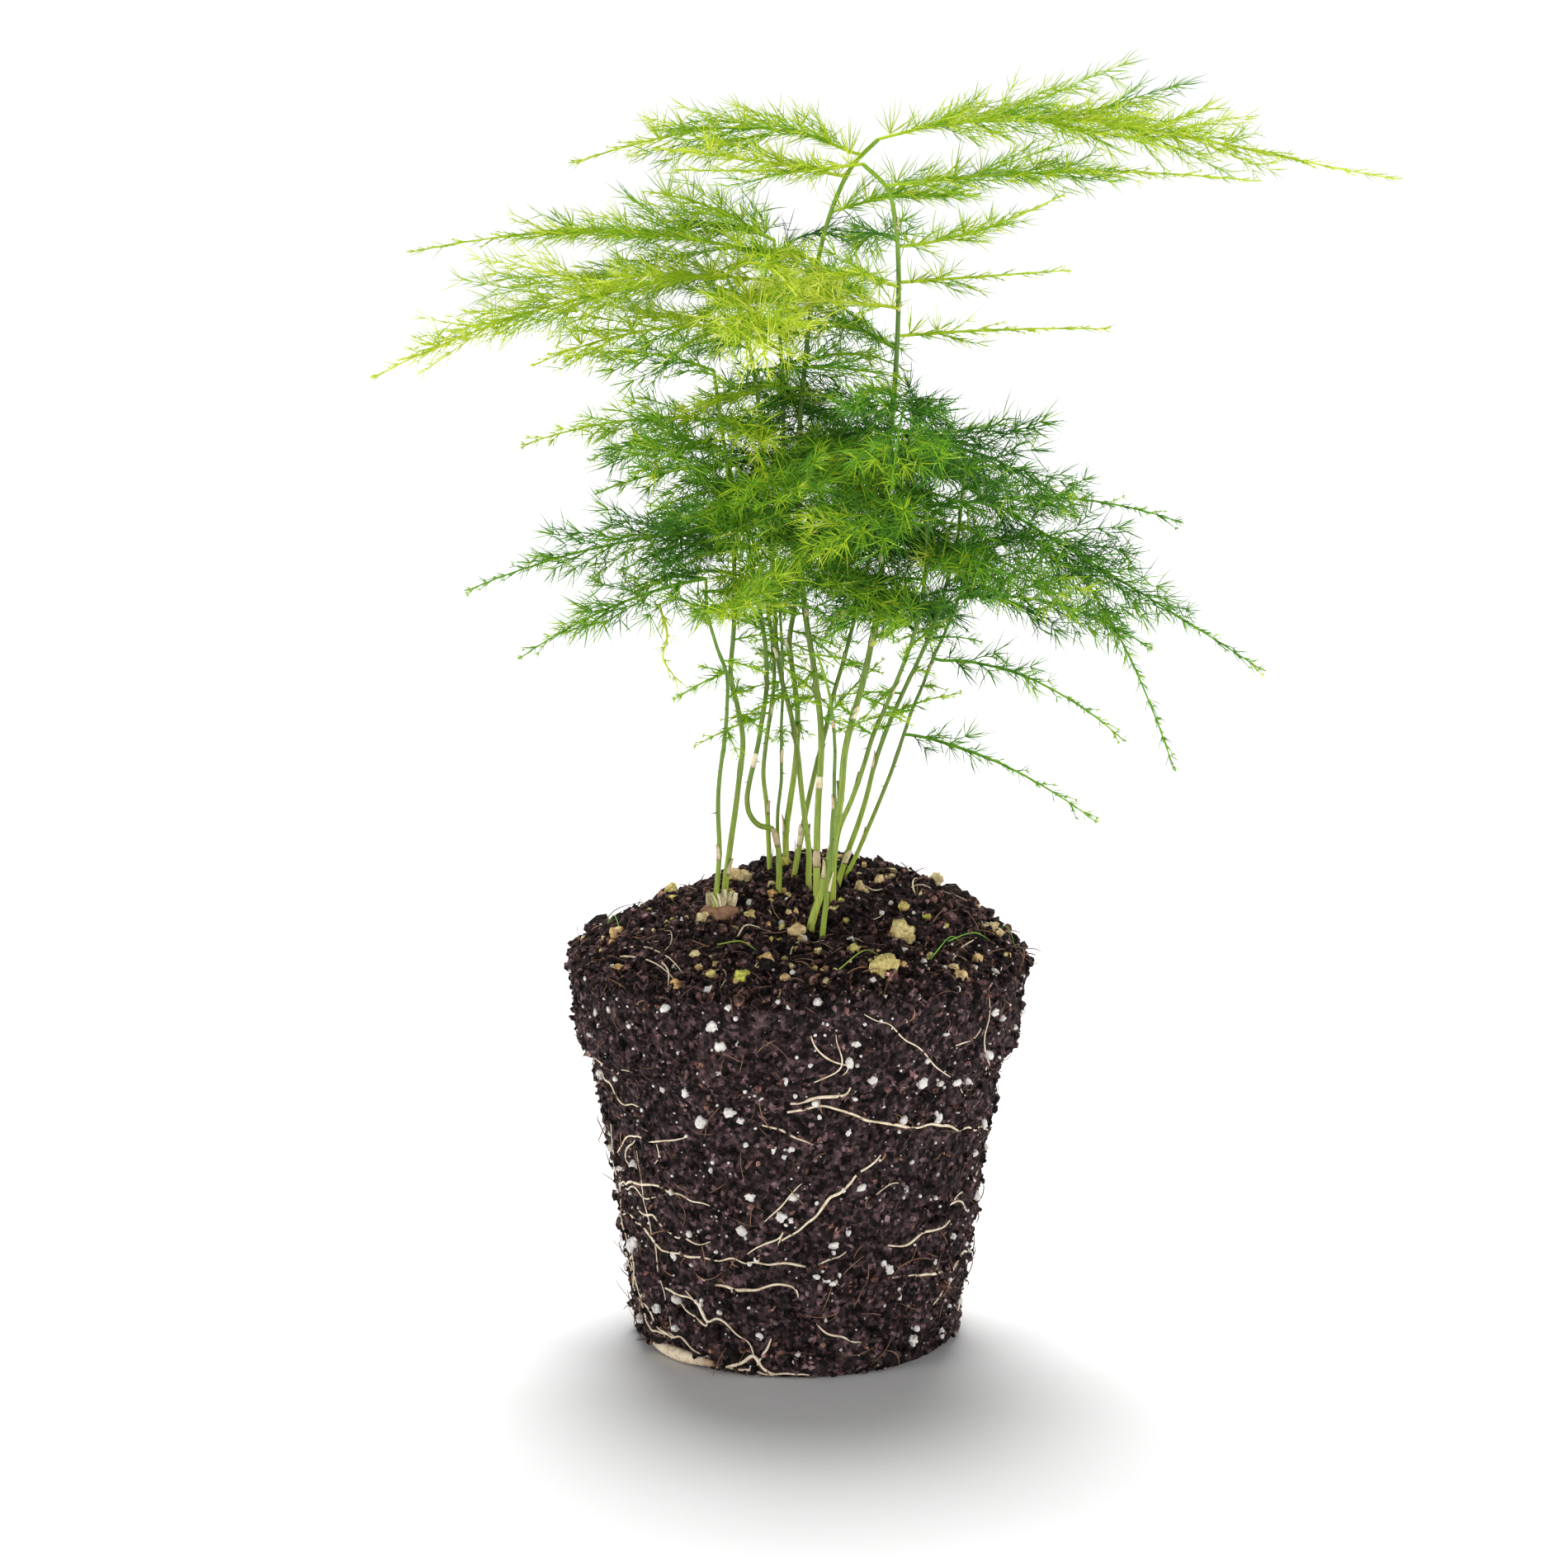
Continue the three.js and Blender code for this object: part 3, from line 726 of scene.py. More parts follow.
def sprayMesh(name, line, side, half, tone, tipTone, thinFrom, sweep, random):
    # ribs, branchlets and needles of one frond along its middle line
    # sweep 0 lets them stand out, 1 lays them towards the tip
    length = lineLength(line)
    run = np.linspace(0, length, len(line))
    tangent = unit(np.gradient(line, axis=0))
    normal = unit(np.cross(side, tangent))
    normal = normal * np.sign(normal[:, 2:] + 1e-9)
    needle = frondStyle["needle"] * min(1.0, 0.62 + half / (40 * mm))
    found, stars, twigs = [], [], []
    place = random.uniform(*frondStyle["firstBranch"])
    flip = random.choice([-1, 1])
    while place < length - 2.5 * mm:
        t = place / length
        flip = -flip
        spot = pointAt(place, run, line)
        forward, over = pointAt(place, run, tangent), pointAt(place, run, normal)
        out = side * flip
        opening = np.interp(t, [0, 0.5, 1], frondStyle["opening"]) * (1 - 0.45 * sweep)
        opening = math.radians(opening + random.normal(0, 6))
        thin = np.interp(t, [thinFrom - 0.12, thinFrom + 0.12], [1.0, 0.0])
        longest = needle * np.interp(thin, [0, 1], [0.32, 1.0])
        longest = longest * np.interp(t, [0, 0.12, 0.6, 1], [0.75, 1, 0.9, 0.45])
        longest = longest * (1 - sweep * np.interp(t, [0, 0.3, 0.8, 1], [0.08, 0.16, 0.45, 0.5]))
        if thinFrom < 1.05:
            breadth = half * np.interp(t, [0, 0.12, 0.32, 0.55, 0.78, 1], [0.6, 1.0, 1.0, 0.6, 0.28, 0.1])
        else:
            breadth = half * max(0.0, math.sin(math.pi * min(1.0, t + 0.08) ** 0.7)) ** 0.8
        breadth = breadth * (0.4 + 0.6 * thin) * random.uniform(0.72, 1.15)
        reach = max(0.0, breadth - 0.7 * longest) / math.sin(opening)
        reach = min(reach, 1.7 * breadth)
        reach = max(reach, (1 - thin) * random.uniform(1.8, 5.2 - 1.8 * sweep) * mm)
        reach = min(reach, 0.75 * (length - place))
        here = tone - 0.14 + (tipTone + 0.14) * t**1.1 + random.normal(0, 0.06 + 0.03 * sweep)
        if reach > frondStyle["shortest"]:
            aim = forward * math.cos(opening) + out * math.sin(opening) + over * random.normal(0.08, 0.2)
            curve = branchCurve(spot, aim, forward, reach, 0.22 - 0.12 * sweep, random.uniform(-0.03, 0.14))
            twigs.append((curve, frondStyle["branchletRadius"], here))
            found += tufts(curve, frondStyle["tuftStep"], 1.8 * mm, longest, here, random)
            end = (curve[-1], unit(curve[-1] - curve[-2]), longest, here + 0.1)
            (found if sweep > 0.6 or thin < 0.5 else stars).append(end)
            # second branchlets, alternate along the first
            inner = random.uniform(*frondStyle["firstTwig"]) * mm
            turn = random.choice([-1, 1])
            while inner < reach - 2.4 * mm:
                turn = -turn
                base = pointAt(inner / reach, np.linspace(0, 1, 5), curve)
                go = unit(curve[-1] - curve[0])
                aside = np.cross(go, over) * turn * (1 - 0.45 * sweep)
                short = (0.45 * (reach - inner) + 1.2 * mm) * random.uniform(0.7, 1.2)
                aim = go * 0.75 + aside * 0.7 + over * random.normal(0, 0.3)
                twig = branchCurve(base, aim, go, short, 0.1, 0.02)
                twigs.append((twig, frondStyle["twigRadius"], here))
                found += tufts(twig, frondStyle["tuftStep"], 2.0 * mm, longest * 0.9, here + 0.02, random)
                found.append((twig[-1], unit(twig[-1] - twig[-2]), longest * 0.85, here + 0.06))
                inner += random.uniform(*frondStyle["twigStep"]) * mm
        else:
            found.append((spot + out * 0.3 * mm, unit(forward + out * 0.8), longest, here))
        place += frondStyle["branchStep"] * (0.5 - 0.05 * sweep) * random.uniform(0.7, 1.3)
    found.append((line[-2], tangent[-1], needle * 0.25, tone + tipTone))
    stars.append((line[4], tangent[4], needle * 0.8, tone))
    found += tufts(line[3:], frondStyle["ribTuftStep"], 2.0 * mm, needle * 0.6, tone + 0.05, random)
    perTuft = frondStyle["needlesPerYoungTuft" if sweep > 0.6 else "needlesPerTuft"]
    body, shade = needlesOf(found, perTuft, random, (0.4 - 0.25 * sweep, 1.25 - 0.45 * sweep))
    parts = [scattered("needles", needleShape, body, {"tone": shade})]
    spread = (0.25 - 0.15 * sweep, 1.5 - 0.85 * sweep)
    body, shade = needlesOf(stars, frondStyle["needlesPerStar"], random, spread)
    parts.append(scattered("stars", needleShape, body, {"tone": shade}))
    if sweep > 0.9:  # rosettes of longer needles that stand on a young rib
        rosettes = []
        for place in np.arange(3 * mm, length * min(thinFrom, 0.85), frondStyle["rosetteStep"]):
            axis = pointAt(place, run, normal) + 0.3 * pointAt(place, run, tangent)
            axis = axis + random.normal(0, 0.25, 3)
            spot = pointAt(place, run, line) + side * random.normal(0, 0.12) * half
            rosettes.append((spot, unit(axis), needle * random.uniform(0.75, 1.1), tone + 0.08))
        body, shade = needlesOf(rosettes, frondStyle["needlesPerStar"], random, (0.15, 1.2))
        parts.append(scattered("rosettes", needleShape, body, {"tone": shade}))
    thick = np.interp(np.linspace(0, 1, len(line)), [0, 0.5, 1], frondStyle["ribRadius"])
    thick = thick * min(1.0, 0.55 + length / (90 * mm))
    ribTone = tone + 0.02 + 0.15 * ribBase[:, 2]
    parts.append(scattered("ribs", ribShape, [bentRod(ribBase, line, thick)], {"tone": ribTone[None]}))
    if twigs:
        rods = [bentRod(twigBase, curve, np.linspace(r, r * 0.45, 5)) for curve, r, _ in twigs]
        shades = np.array([own for _, _, own in twigs])
        parts.append(scattered("twigs", twigShape, rods, {"tone": shades}))
    return joined(name, parts)


# each CAD frond: how young it is, from 0 for old and deep green to 1 for new and yellow, how much yellower
# its tip is, and the share of its length where it thins out to a bare tip
fronds = {
    "i1": (0.66, 0.12, 0.7), "i2": (0.64, 0.12, 0.68), "i3": (0.74, 0.12, 0.8), "i4": (0.56, 0.15, 0.8),
    "j1": (0.68, 0.15, 0.5), "j2": (0.56, 0.2, 0.5), "j3": (0.58, 0.15, 0.6), "j4": (0.6, 0.15, 0.3),
    "j5": (0.6, 0.15, 0.3), "j6": (0.72, 0.12, 0.9), "f1": (0.58, 0.15, 0.6), "f2": (0.6, 0.15, 0.72),
    "f3": (0.56, 0.15, 0.9), "f4": (0.36, 0.15, 0.85), "h1": (0.68, 0.14, 0.82), "h2": (0.7, 0.12, 1.1),
    "h3": (0.6, 0.15, 0.85), "b1": (0.5, 0.2, 0.8), "b2": (0.44, 0.18, 0.85), "b3": (0.34, 0.22, 0.9),
    "d1": (0.28, 0.2, 0.8), "d2": (0.24, 0.22, 0.7), "d3": (0.32, 0.25, 1.1), "c1": (0.24, 0.2, 0.8),
    "c2": (0.18, 0.2, 0.9), "a1": (0.32, 0.2, 0.75), "a2": (0.4, 0.25, 1.1), "g1": (0.28, 0.2, 0.6),
    "g2": (0.18, 0.2, 0.9), "g3": (0.2, 0.2, 0.9), "l1": (0.2, 0.25, 0.7), "l2": (0.22, 0.25, 0.5),
    "l3": (0.24, 0.25, 1.0), "m1": (0.22, 0.25, 1.1), "m2": (0.14, 0.25, 0.95), "m3": (0.34, 0.3, 1.1),
    "n1": (0.22, 0.2, 0.62), "n2": (0.3, 0.25, 0.5), "n3": (0.3, 0.2, 0.35), "n4": (0.2, 0.2, 0.85),
}
youngStems, youngerStems = "ijfh", "bd"
for key, (tone, tipTone, thinFrom) in fronds.items():
    random = np.random.default_rng(100 + ord(key[0]) * 10 + int(key[1]))
    line, side, half = frondLine(f"frond_{key}", stemLines[key[0]])
    sweep = 1.0 if key[0] in youngStems else 0.45 if key[0] in youngerStems else 0.3
    mesh = sprayMesh(f"spray{key}", line, side, half, tone, tipTone, thinFrom, sweep, random)
    addPiece(f"frond_{key}_spray", mesh, needleMaterial, [f"frond_{key}"], smooth=False)
print("fronds made:", len(fronds))


# a small withered curl that hangs under the left side
random = np.random.default_rng(77)
curl = smoothLine([(-35, -4, 191), (-33, -6, 184), (-34, -7, 178), (-31, -8, 173), (-30, -7, 168)], 40) * mm
curlMesh = sprayMesh("curl", curl, np.array([0.8, 0.6, 0.0]), 3 * mm, 0.8, 0.2, 0.6, 0.8, random)
addPiece("withered_curl", curlMesh, needleMaterial, smooth=False)

# smaller sprays that fill the middle of the plant
# for each stem: lowest and highest joint, spacing, tone and sweep
fillers = {
    "a": (190, 202, 6, 0.22, 0.2), "b": (202, 252, 5.5, 0.22, 0.3), "c": (200, 229, 6, 0.14, 0.1),
    "d": (198, 227, 6, 0.18, 0.2), "e": (194, 204, 6, 0.24, 0.2), "f": (212, 286, 6, 0.3, 0.7),
    "g": (184, 230, 5, 0.12, 0.1), "h": (208, 282, 5.5, 0.34, 0.8), "i": (206, 280, 6, 0.22, 0.5),
    "j": (194, 284, 5.5, 0.18, 0.4), "l": (180, 229, 5, 0.12, 0.0), "m": (184, 248, 4.5, 0.1, 0.0),
    "n": (182, 208, 5, 0.16, 0.1),
}
# how far left and right the foliage reaches at each height
fillStyle = {
    "reach": (24, 50),
    "heights": [182, 190, 197, 207, 218, 228, 239, 249, 262, 290],
    "left": [-34, -44, -46, -42, -36, -30, -34, -32, -36, -44],
    "right": [46, 54, 56, 57, 54, 45, 35, 30, 18, 14],
    "depth": 44,
    "floor": (193, 182),  # how low the sprays hang on the left and on the right
    "half": (0.26, 0.36),  # half the breadth, as a share of the reach
    "shortest": 12,
    "toneSpread": 0.07,
    "tipTone": 0.22,
    "thinFrom": (0.8, 1.1),
}
sprigStyle = {
    "lowest": 158,
    "step": 5.5,
    "reach": (7, 20),
    "half": 3.8 * mm,
    "look": (0.42, 0.25, 0.5, 0.5),  # tone, yellower tip, where it thins and sweep
}
for number, (key, (lowest, highest, step, tone, sweep)) in enumerate(fillers.items()):
    random = np.random.default_rng(500 + number)
    line = stemLines[key] / mm
    turn = random.uniform(0, 2 * math.pi)
    parts = []
    joint = lowest + random.uniform(0, step)
    while joint < highest:
        spot = atHeight(line, joint)
        turn += 2.4 + random.normal(0, 0.3)
        heading = np.array([math.cos(turn), math.sin(turn), 0.0])
        reach = random.uniform(*fillStyle["reach"])
        sideways = fillStyle["right" if heading[0] > 0 else "left"]
        wide = np.interp(joint - 0.15 * reach, fillStyle["heights"], sideways)
        room = min((wide - spot[0]) / (heading[0] + 1e-6 * np.sign(heading[0] + 1e-9)),
                   (fillStyle["depth"] - spot[1] * np.sign(heading[1])) / (abs(heading[1]) + 1e-6))
        reach = min(reach, room)
        fall = random.uniform(-0.02, 0.34) * reach
        tipX = spot[0] + heading[0] * reach
        if tipX < 42:
            fall = min(fall, spot[2] - fillStyle["floor"][tipX > 6])
        joint += step * random.uniform(0.8, 1.2)
        if reach < fillStyle["shortest"]:
            continue
        arch = random.uniform(0.04, 0.16) * reach
        points = [spot + heading * reach * t + up * (arch * 4 * t * (1 - t) - fall * t)
                  for t in (0, 0.25, 0.5, 0.75, 1)]
        side = np.array([heading[1], -heading[0], random.normal(0, 0.35)])
        # painted light and shade: a spray facing the camera or the left gets a lighter tone and one facing
        # back a darker tone; the tone also rises with height, most on stems i and j
        paintedLightAndHeight = max(0.0, -heading[1]) * 0.16 - max(0.0, heading[1]) * 0.2 + max(0.0, -heading[0]) * 0.06
        paintedLightAndHeight += np.interp(spot[2], [235, 262], [0.0, 0.38 if key in "ij" else 0.1])
        half = reach * random.uniform(*fillStyle["half"]) * mm
        own = max(0.02, tone + paintedLightAndHeight + random.normal(0, fillStyle["toneSpread"]))
        thinFrom = random.uniform(*fillStyle["thinFrom"])
        curve, tipTone = smoothLine(points, 40) * mm, fillStyle["tipTone"]
        parts.append(sprayMesh("fill", curve, unit(side), half, own, tipTone, thinFrom, sweep, random))
    joint = sprigStyle["lowest"] + random.uniform(0, 6)
    while joint < lowest + 6:  # short sprigs on the bare part of the stem below
        spot = atHeight(line, joint)
        turn += 2.4
        reach = random.uniform(*sprigStyle["reach"])
        heading = np.array([math.cos(turn), math.sin(turn), random.normal(0.1, 0.4)])
        points = [spot + heading * reach * t - up * 0.15 * reach * t * t for t in (0, 0.5, 1)]
        side = np.array([heading[1], -heading[0], random.normal(0, 0.35)])
        curve = smoothLine(points, 40) * mm
        parts.append(sprayMesh("sprig", curve, unit(side), sprigStyle["half"], *sprigStyle["look"], random))
        joint += sprigStyle["step"] * random.uniform(0.7, 1.6)
    addPiece(f"side_sprays_{key}", joined(f"fill{key}", parts), needleMaterial, smooth=False)
print("side sprays made")


# growing medium
ballStyle = {
    "voxel": 0.86 * mm,
    "lump": (85.0, 0.9 * mm),
    "clod": (230.0, 1.25 * mm),
    "crumb": (620.0, 0.88 * mm),
    "topFrom": 99 * mm,  # above this height the peat is looser
    # a chip out of the base: its place, size and depth
    "bite": (Vector((35 * mm, -27 * mm, -2 * mm)), 11 * mm, 4.5 * mm),
}


def crumblyBall():
    rough = bpy.data.objects.new("rough", nodes["root_ball"].data.copy())
    bpy.context.scene.collection.objects.link(rough)
    bm = welded(rough.data)
    bm.to_mesh(rough.data)
    bm.free()
    even = rough.modifiers.new("even", "REMESH")
    even.mode = "VOXEL"
    even.voxel_size = ballStyle["voxel"]
    bpy.context.view_layer.update()
    done = rough.evaluated_get(bpy.context.evaluated_depsgraph_get())
    mesh = bpy.data.meshes.new_from_object(done)
    bpy.data.objects.remove(rough)
    mesh.name = "rootBall"
    return mesh


def peatRise(p, loose):
    # how far the surface stands proud at p: big lumps, clods and crumbs with gaps between
    (lumpSize, lumpRise), (clodSize, clodRise), (crumbSize, crumbRise) = (
        ballStyle["lump"], ballStyle["clod"], ballStyle["crumb"])
    rise = noise.noise(p * lumpSize) * lumpRise
    clod = 0.5 - noise.voronoi(p * clodSize)[0][0]
    crumb = 0.45 - noise.voronoi(p * crumbSize)[0][0]
    rise += clod * clodRise * (1.9 if loose else 1.0)
    rise += crumb * crumbRise * (1.5 if loose else 1.0)
    return rise


ballMesh = crumblyBall()
ballCo = coordsOf(ballMesh)
normals = coordsOf(ballMesh, "normal")
bite, biteSize, biteDepth = ballStyle["bite"]
moved = ballCo.copy()
for k, (p, n) in enumerate(zip(ballCo, normals)):
    if n[2] < -0.9 and p[2] < 2 * mm:
        continue
    point = Vector(p)
    rise = peatRise(point, p[2] > ballStyle["topFrom"])
    near = (point - bite).length / biteSize
    if near < 1:
        rise -= biteDepth * (1 - near) ** 0.7
    moved[k] = p + n * rise
moved[:, 2] = np.maximum(moved[:, 2], 0.0)
ballMesh.vertices.foreach_set("co", moved.astype(np.float32).ravel())
ballMesh.update()
addPiece("root_ball_peat", ballMesh, peat, ["root_ball"], smooth=False)
print("root ball faces:", len(ballMesh.polygons))

ballTris = trisOf(ballMesh)
ballTree = BVHTree.FromPolygons([Vector(v) for v in moved], [tuple(t) for t in ballTris])


def onSide(azimuth, height):
    # the point of the ball's side at an azimuth in degrees and a height in metres
    angle = math.radians(azimuth)
    out = Vector((math.cos(angle), math.sin(angle), 0))
    start = out * 0.2 + Vector((0, 0, max(height, 0.4 * mm)))
    spot = ballTree.ray_cast(start, -out)[0]
    return None if spot is None else np.array(spot)


def onTop(x, y):
    spot = ballTree.ray_cast(Vector((x, y, 0.2)), Vector((0, 0, -1)))[0]
    return None if spot is None else np.array(spot)


triCorners = moved[ballTris]
triNormals = np.cross(triCorners[:, 1] - triCorners[:, 0], triCorners[:, 2] - triCorners[:, 0])
triArea = np.linalg.norm(triNormals, axis=1) / 2
triNormals = unit(triNormals)
triMiddle = triCorners.mean(axis=1)
outer = np.hypot(triMiddle[:, 0], triMiddle[:, 1]) > 38 * mm
outside = outer | (triMiddle[:, 2] > 97 * mm)
outside &= triMiddle[:, 2] > 0.6 * mm
topShare = triMiddle[:, 2] > ballStyle["topFrom"]


def surfaceSpots(count, random, topWeight=1.0, lowest=0.0):
    weight = triArea * outside * np.where(topShare, topWeight, 1.0) * (triMiddle[:, 2] > lowest)
    chosen = random.choice(len(ballTris), count, p=weight / weight.sum())
    share = random.dirichlet([1, 1, 1], count)
    spots = (triCorners[chosen] * share[..., None]).sum(axis=1)
    return spots, triNormals[chosen], topShare[chosen]


def turned(count, random):
    # random turns as 3 by 3 matrices
    a = unit(random.normal(size=(count, 3)))
    b = unit(np.cross(a, random.normal(size=(count, 3))))
    return np.stack([a, b, np.cross(a, b)], 1)


def lumpShape(name, subdivisions):
    bm = bmesh.new()
    bmesh.ops.create_icosphere(bm, subdivisions=subdivisions, radius=1)
    return toMesh(bm, name)


smallLump = lumpShape("smallLump", 1)
roundLump = lumpShape("roundLump", 2)


def lumps(shape, spots, sizes, random, jag=0.24, flat=(0.7, 1.3)):
    base = coordsOf(shape)
    count = len(spots)
    rough = 1 + random.uniform(-jag, jag, (count, len(base), 1))
    stretch = random.uniform(*flat, (count, 1, 3))
    body = base[None] * rough * stretch
    body = np.einsum("nvk,nkj->nvj", body, turned(count, random))
    body = spots[:, None] + body * sizes[:, None, None]
    body[..., 2] = np.maximum(body[..., 2], 0.05 * mm)
    return body


def stones(name, places, sizes, tones, random):
    # larger rough lumps, each with a shape of its own
    bm = bmesh.new()
    values = []
    for place, size, tone in zip(places, sizes, tones):
        shift = Vector(random.uniform(-50, 50, 3))
        stretch = random.uniform(0.65, 1.15, 3)
        for v in bmesh.ops.create_icosphere(bm, subdivisions=3, radius=1)["verts"]:
            rise = 1 + 0.55 * noise.noise(v.co * 1.4 + shift) + 0.3 * noise.noise(v.co * 3.8 + shift)
            v.co = Vector(place) + Vector([c * k for c, k in zip(v.co, stretch)]) * rise * size
            v.co.z = max(v.co.z, 0.05 * mm)
            values.append(tone)
    mesh = toMesh(bm, name)
    setTone(mesh, values)
    return mesh


# loose crumbs and flat bits of bark
crumbStyle = {
    "count": 9000,
    "onTop": 2.2,  # how much thicker they lie on top
    "size": 0.5,  # the usual radius in millimetres
    "spread": 0.42,
    "largest": 1.7 * mm,
    "topGrowth": 1.45,
}
barkStyle = {
    "count": 620,
    "onTop": 2.4,
    "size": (1.2, 3.6),  # length in millimetres; the others are shares of it
    "breadth": (0.25, 0.6),
    "thickness": (0.14, 0.3),
}
crumbRandom = np.random.default_rng(11)
spots, facing, top = surfaceSpots(crumbStyle["count"], crumbRandom, crumbStyle["onTop"])
sizes = crumbRandom.lognormal(math.log(crumbStyle["size"]), crumbStyle["spread"], len(spots)) * mm
sizes = np.minimum(sizes, crumbStyle["largest"]) * np.where(top, crumbStyle["topGrowth"], 1.0)
crumbs = lumps(smallLump, spots + facing * sizes[:, None] * 0.35, sizes, crumbRandom, 0.34, (0.5, 1.5))
crumbMesh = scattered("crumbs", smallLump, crumbs, {"tone": crumbRandom.beta(1.3, 2.0, len(spots))})
addPiece("peat_crumbs", crumbMesh, peatBits, smooth=False)

barkBox = bmesh.new()
bmesh.ops.create_cube(barkBox, size=1)
bmesh.ops.bevel(barkBox, geom=barkBox.edges[:], offset=0.14, segments=1, profile=0.5, affect="EDGES",
                material=-1)
barkShape = toMesh(barkBox, "bark")
spots, facing, _ = surfaceSpots(barkStyle["count"], crumbRandom, barkStyle["onTop"])
count = len(spots)
sizes = crumbRandom.uniform(*barkStyle["size"], count) * mm
body = coordsOf(barkShape)[None] * (1 + crumbRandom.uniform(-0.2, 0.2, (count, len(barkShape.vertices), 1)))
breadths = crumbRandom.uniform(*barkStyle["breadth"], count)
thicknesses = crumbRandom.uniform(*barkStyle["thickness"], count)
body = body * np.stack([np.ones(count), breadths, thicknesses], 1)[:, None]
lie = unit(np.cross(facing, crumbRandom.normal(size=facing.shape)))
tilt = unit(facing + crumbRandom.normal(0, 0.35, facing.shape))
lie = unit(lie - tilt * (lie * tilt).sum(1, keepdims=True))
axes = np.stack([lie, np.cross(tilt, lie), tilt], 1)
body = np.einsum("nvk,nkj->nvj", body, axes) * sizes[:, None, None] + (spots + facing * 0.25 * mm)[:, None]
body[..., 2] = np.maximum(body[..., 2], 0.05 * mm)
barkMesh = scattered("barkBits", barkShape, body, {"tone": crumbRandom.uniform(0.35, 1, count)})
addPiece("bark_bits", barkMesh, peatBits, smooth=False)
print("crumbs and bark made")


# fibres
fibreShape = rodShape("fibre", 3, 6)
fibreBase = coordsOf(fibreShape)
fibreStyle = {
    "count": 800,
    "onTop": 2.6,
    "length": (2.5, 11),  # millimetres, and so is the radius
    "hop": (0.05, 0.22),  # how high it arches, as a share of its length
    "radius": (0.07, 0.19),
}
fibreRandom = np.random.default_rng(23)
spots, facing, _ = surfaceSpots(fibreStyle["count"], fibreRandom, fibreStyle["onTop"])
fibres = []
for spot, normal in zip(spots, facing):
    go = unit(np.cross(normal, fibreRandom.normal(size=3)))
    size = fibreRandom.uniform(*fibreStyle["length"]) * mm
    hop = fibreRandom.uniform(*fibreStyle["hop"]) * size
    bow = unit(np.cross(normal, go)) * fibreRandom.normal(0, 0.3) * size
    t = np.linspace(0, 1, 6)[:, None]
    line = spot + go * (t - 0.5) * size + bow * (t - 0.5) ** 2 + normal * (hop * 4 * t * (1 - t) + 0.05 * mm)
    line = line + normal * (t > 0.5) * (t - 0.5) * fibreRandom.choice([0, 0, 0, 1]) * size * 0.7
    line[:, 2] = np.maximum(line[:, 2], 0.25 * mm)
    radius = fibreRandom.uniform(*fibreStyle["radius"]) * mm
    fibres.append(bentRod(fibreBase, line, np.array([0.6, 1, 1, 1, 0.9, 0.5]) * radius))
fibreMesh = scattered("fibres", fibreShape, fibres, {"tone": fibreRandom.beta(1.5, 1.8, len(fibres))})
addPiece("coir_fibres", fibreMesh, patchy["fibre"])
print("fibres made:", len(fibres))


# perlite and pumice
perliteStyle = {
    "small": 1500,
    "smallSize": 0.3,  # radii in millimetres
    "largestSmall": 1.2,
    "big": 150,
    "bigSize": (0.7, 1.5),
}
grainRandom = np.random.default_rng(31)
spots, facing, _ = surfaceSpots(perliteStyle["small"], grainRandom, 0.9, 2 * mm)
sizes = grainRandom.lognormal(math.log(perliteStyle["smallSize"]), 0.5, len(spots))
sizes = np.minimum(sizes, perliteStyle["largestSmall"]) * mm
grains = lumps(smallLump, spots + facing * sizes[:, None] * 0.3, sizes, grainRandom, 0.16, (0.75, 1.2))
smallGrains = scattered("smallGrains", smallLump, grains, {"tone": grainRandom.uniform(0.1, 1, len(spots))})
spots, facing, _ = surfaceSpots(perliteStyle["big"], grainRandom, 0.8, 4 * mm)
sizes = grainRandom.uniform(*perliteStyle["bigSize"], len(spots)) * mm
grains = lumps(roundLump, spots + facing * sizes[:, None] * 0.15, sizes, grainRandom, 0.2, (0.6, 1.3))
bigGrains = scattered("bigGrains", roundLump, grains, {"tone": grainRandom.uniform(0.3, 1, len(spots))})
# the larger grains on the front: azimuth in degrees, height and radius in millimetres
frontGrains = [
    (247, 102, 1.5), (253, 99, 0.9), (249, 94, 1.5), (251, 89, 1.3), (231, 75, 0.9), (251, 71, 1.3),
    (254, 69, 1.1), (256, 49, 1.2), (265, 44, 1.3), (268, 43, 0.8), (284, 66, 1.0), (263, 62, 0.9),
    (266, 60, 0.8), (268, 62, 0.7), (309, 77, 1.0), (312, 68, 0.9), (329, 32, 0.9), (298, 30, 1.0),
    (300, 28, 1.2), (313, 7, 1.2), (270, 7, 1.1), (279, 27, 0.9), (281, 26, 1.1), (283, 28, 0.7),
    (214, 13, 1.2), (305, 20, 0.9), (211, 51, 1.2), (284, 90, 1.0), (309, 90, 1.0), (328, 92, 1.3),
    (291, 104, 0.9), (327, 103, 1.0), (250, 82, 0.7), (304, 49, 1.0), (244, 55, 0.7), (336, 53, 1.0),
    (205, 30, 0.7), (254, 38, 0.6), (283, 51, 0.6), (273, 85, 0.6), (279, 16, 0.6), (319, 27, 0.7),
]
placed = [onSide(azimuth, height * mm) for azimuth, height, _ in frontGrains]
sizes = [size * mm for *_, size in frontGrains]
frontMesh = stones("frontGrains", placed, sizes, grainRandom.uniform(0.4, 1, len(placed)), grainRandom)
perliteMesh = joined("perlite", [smallGrains, bigGrains, frontMesh])
addPiece("perlite_grains", perliteMesh, patchy["perlite"])

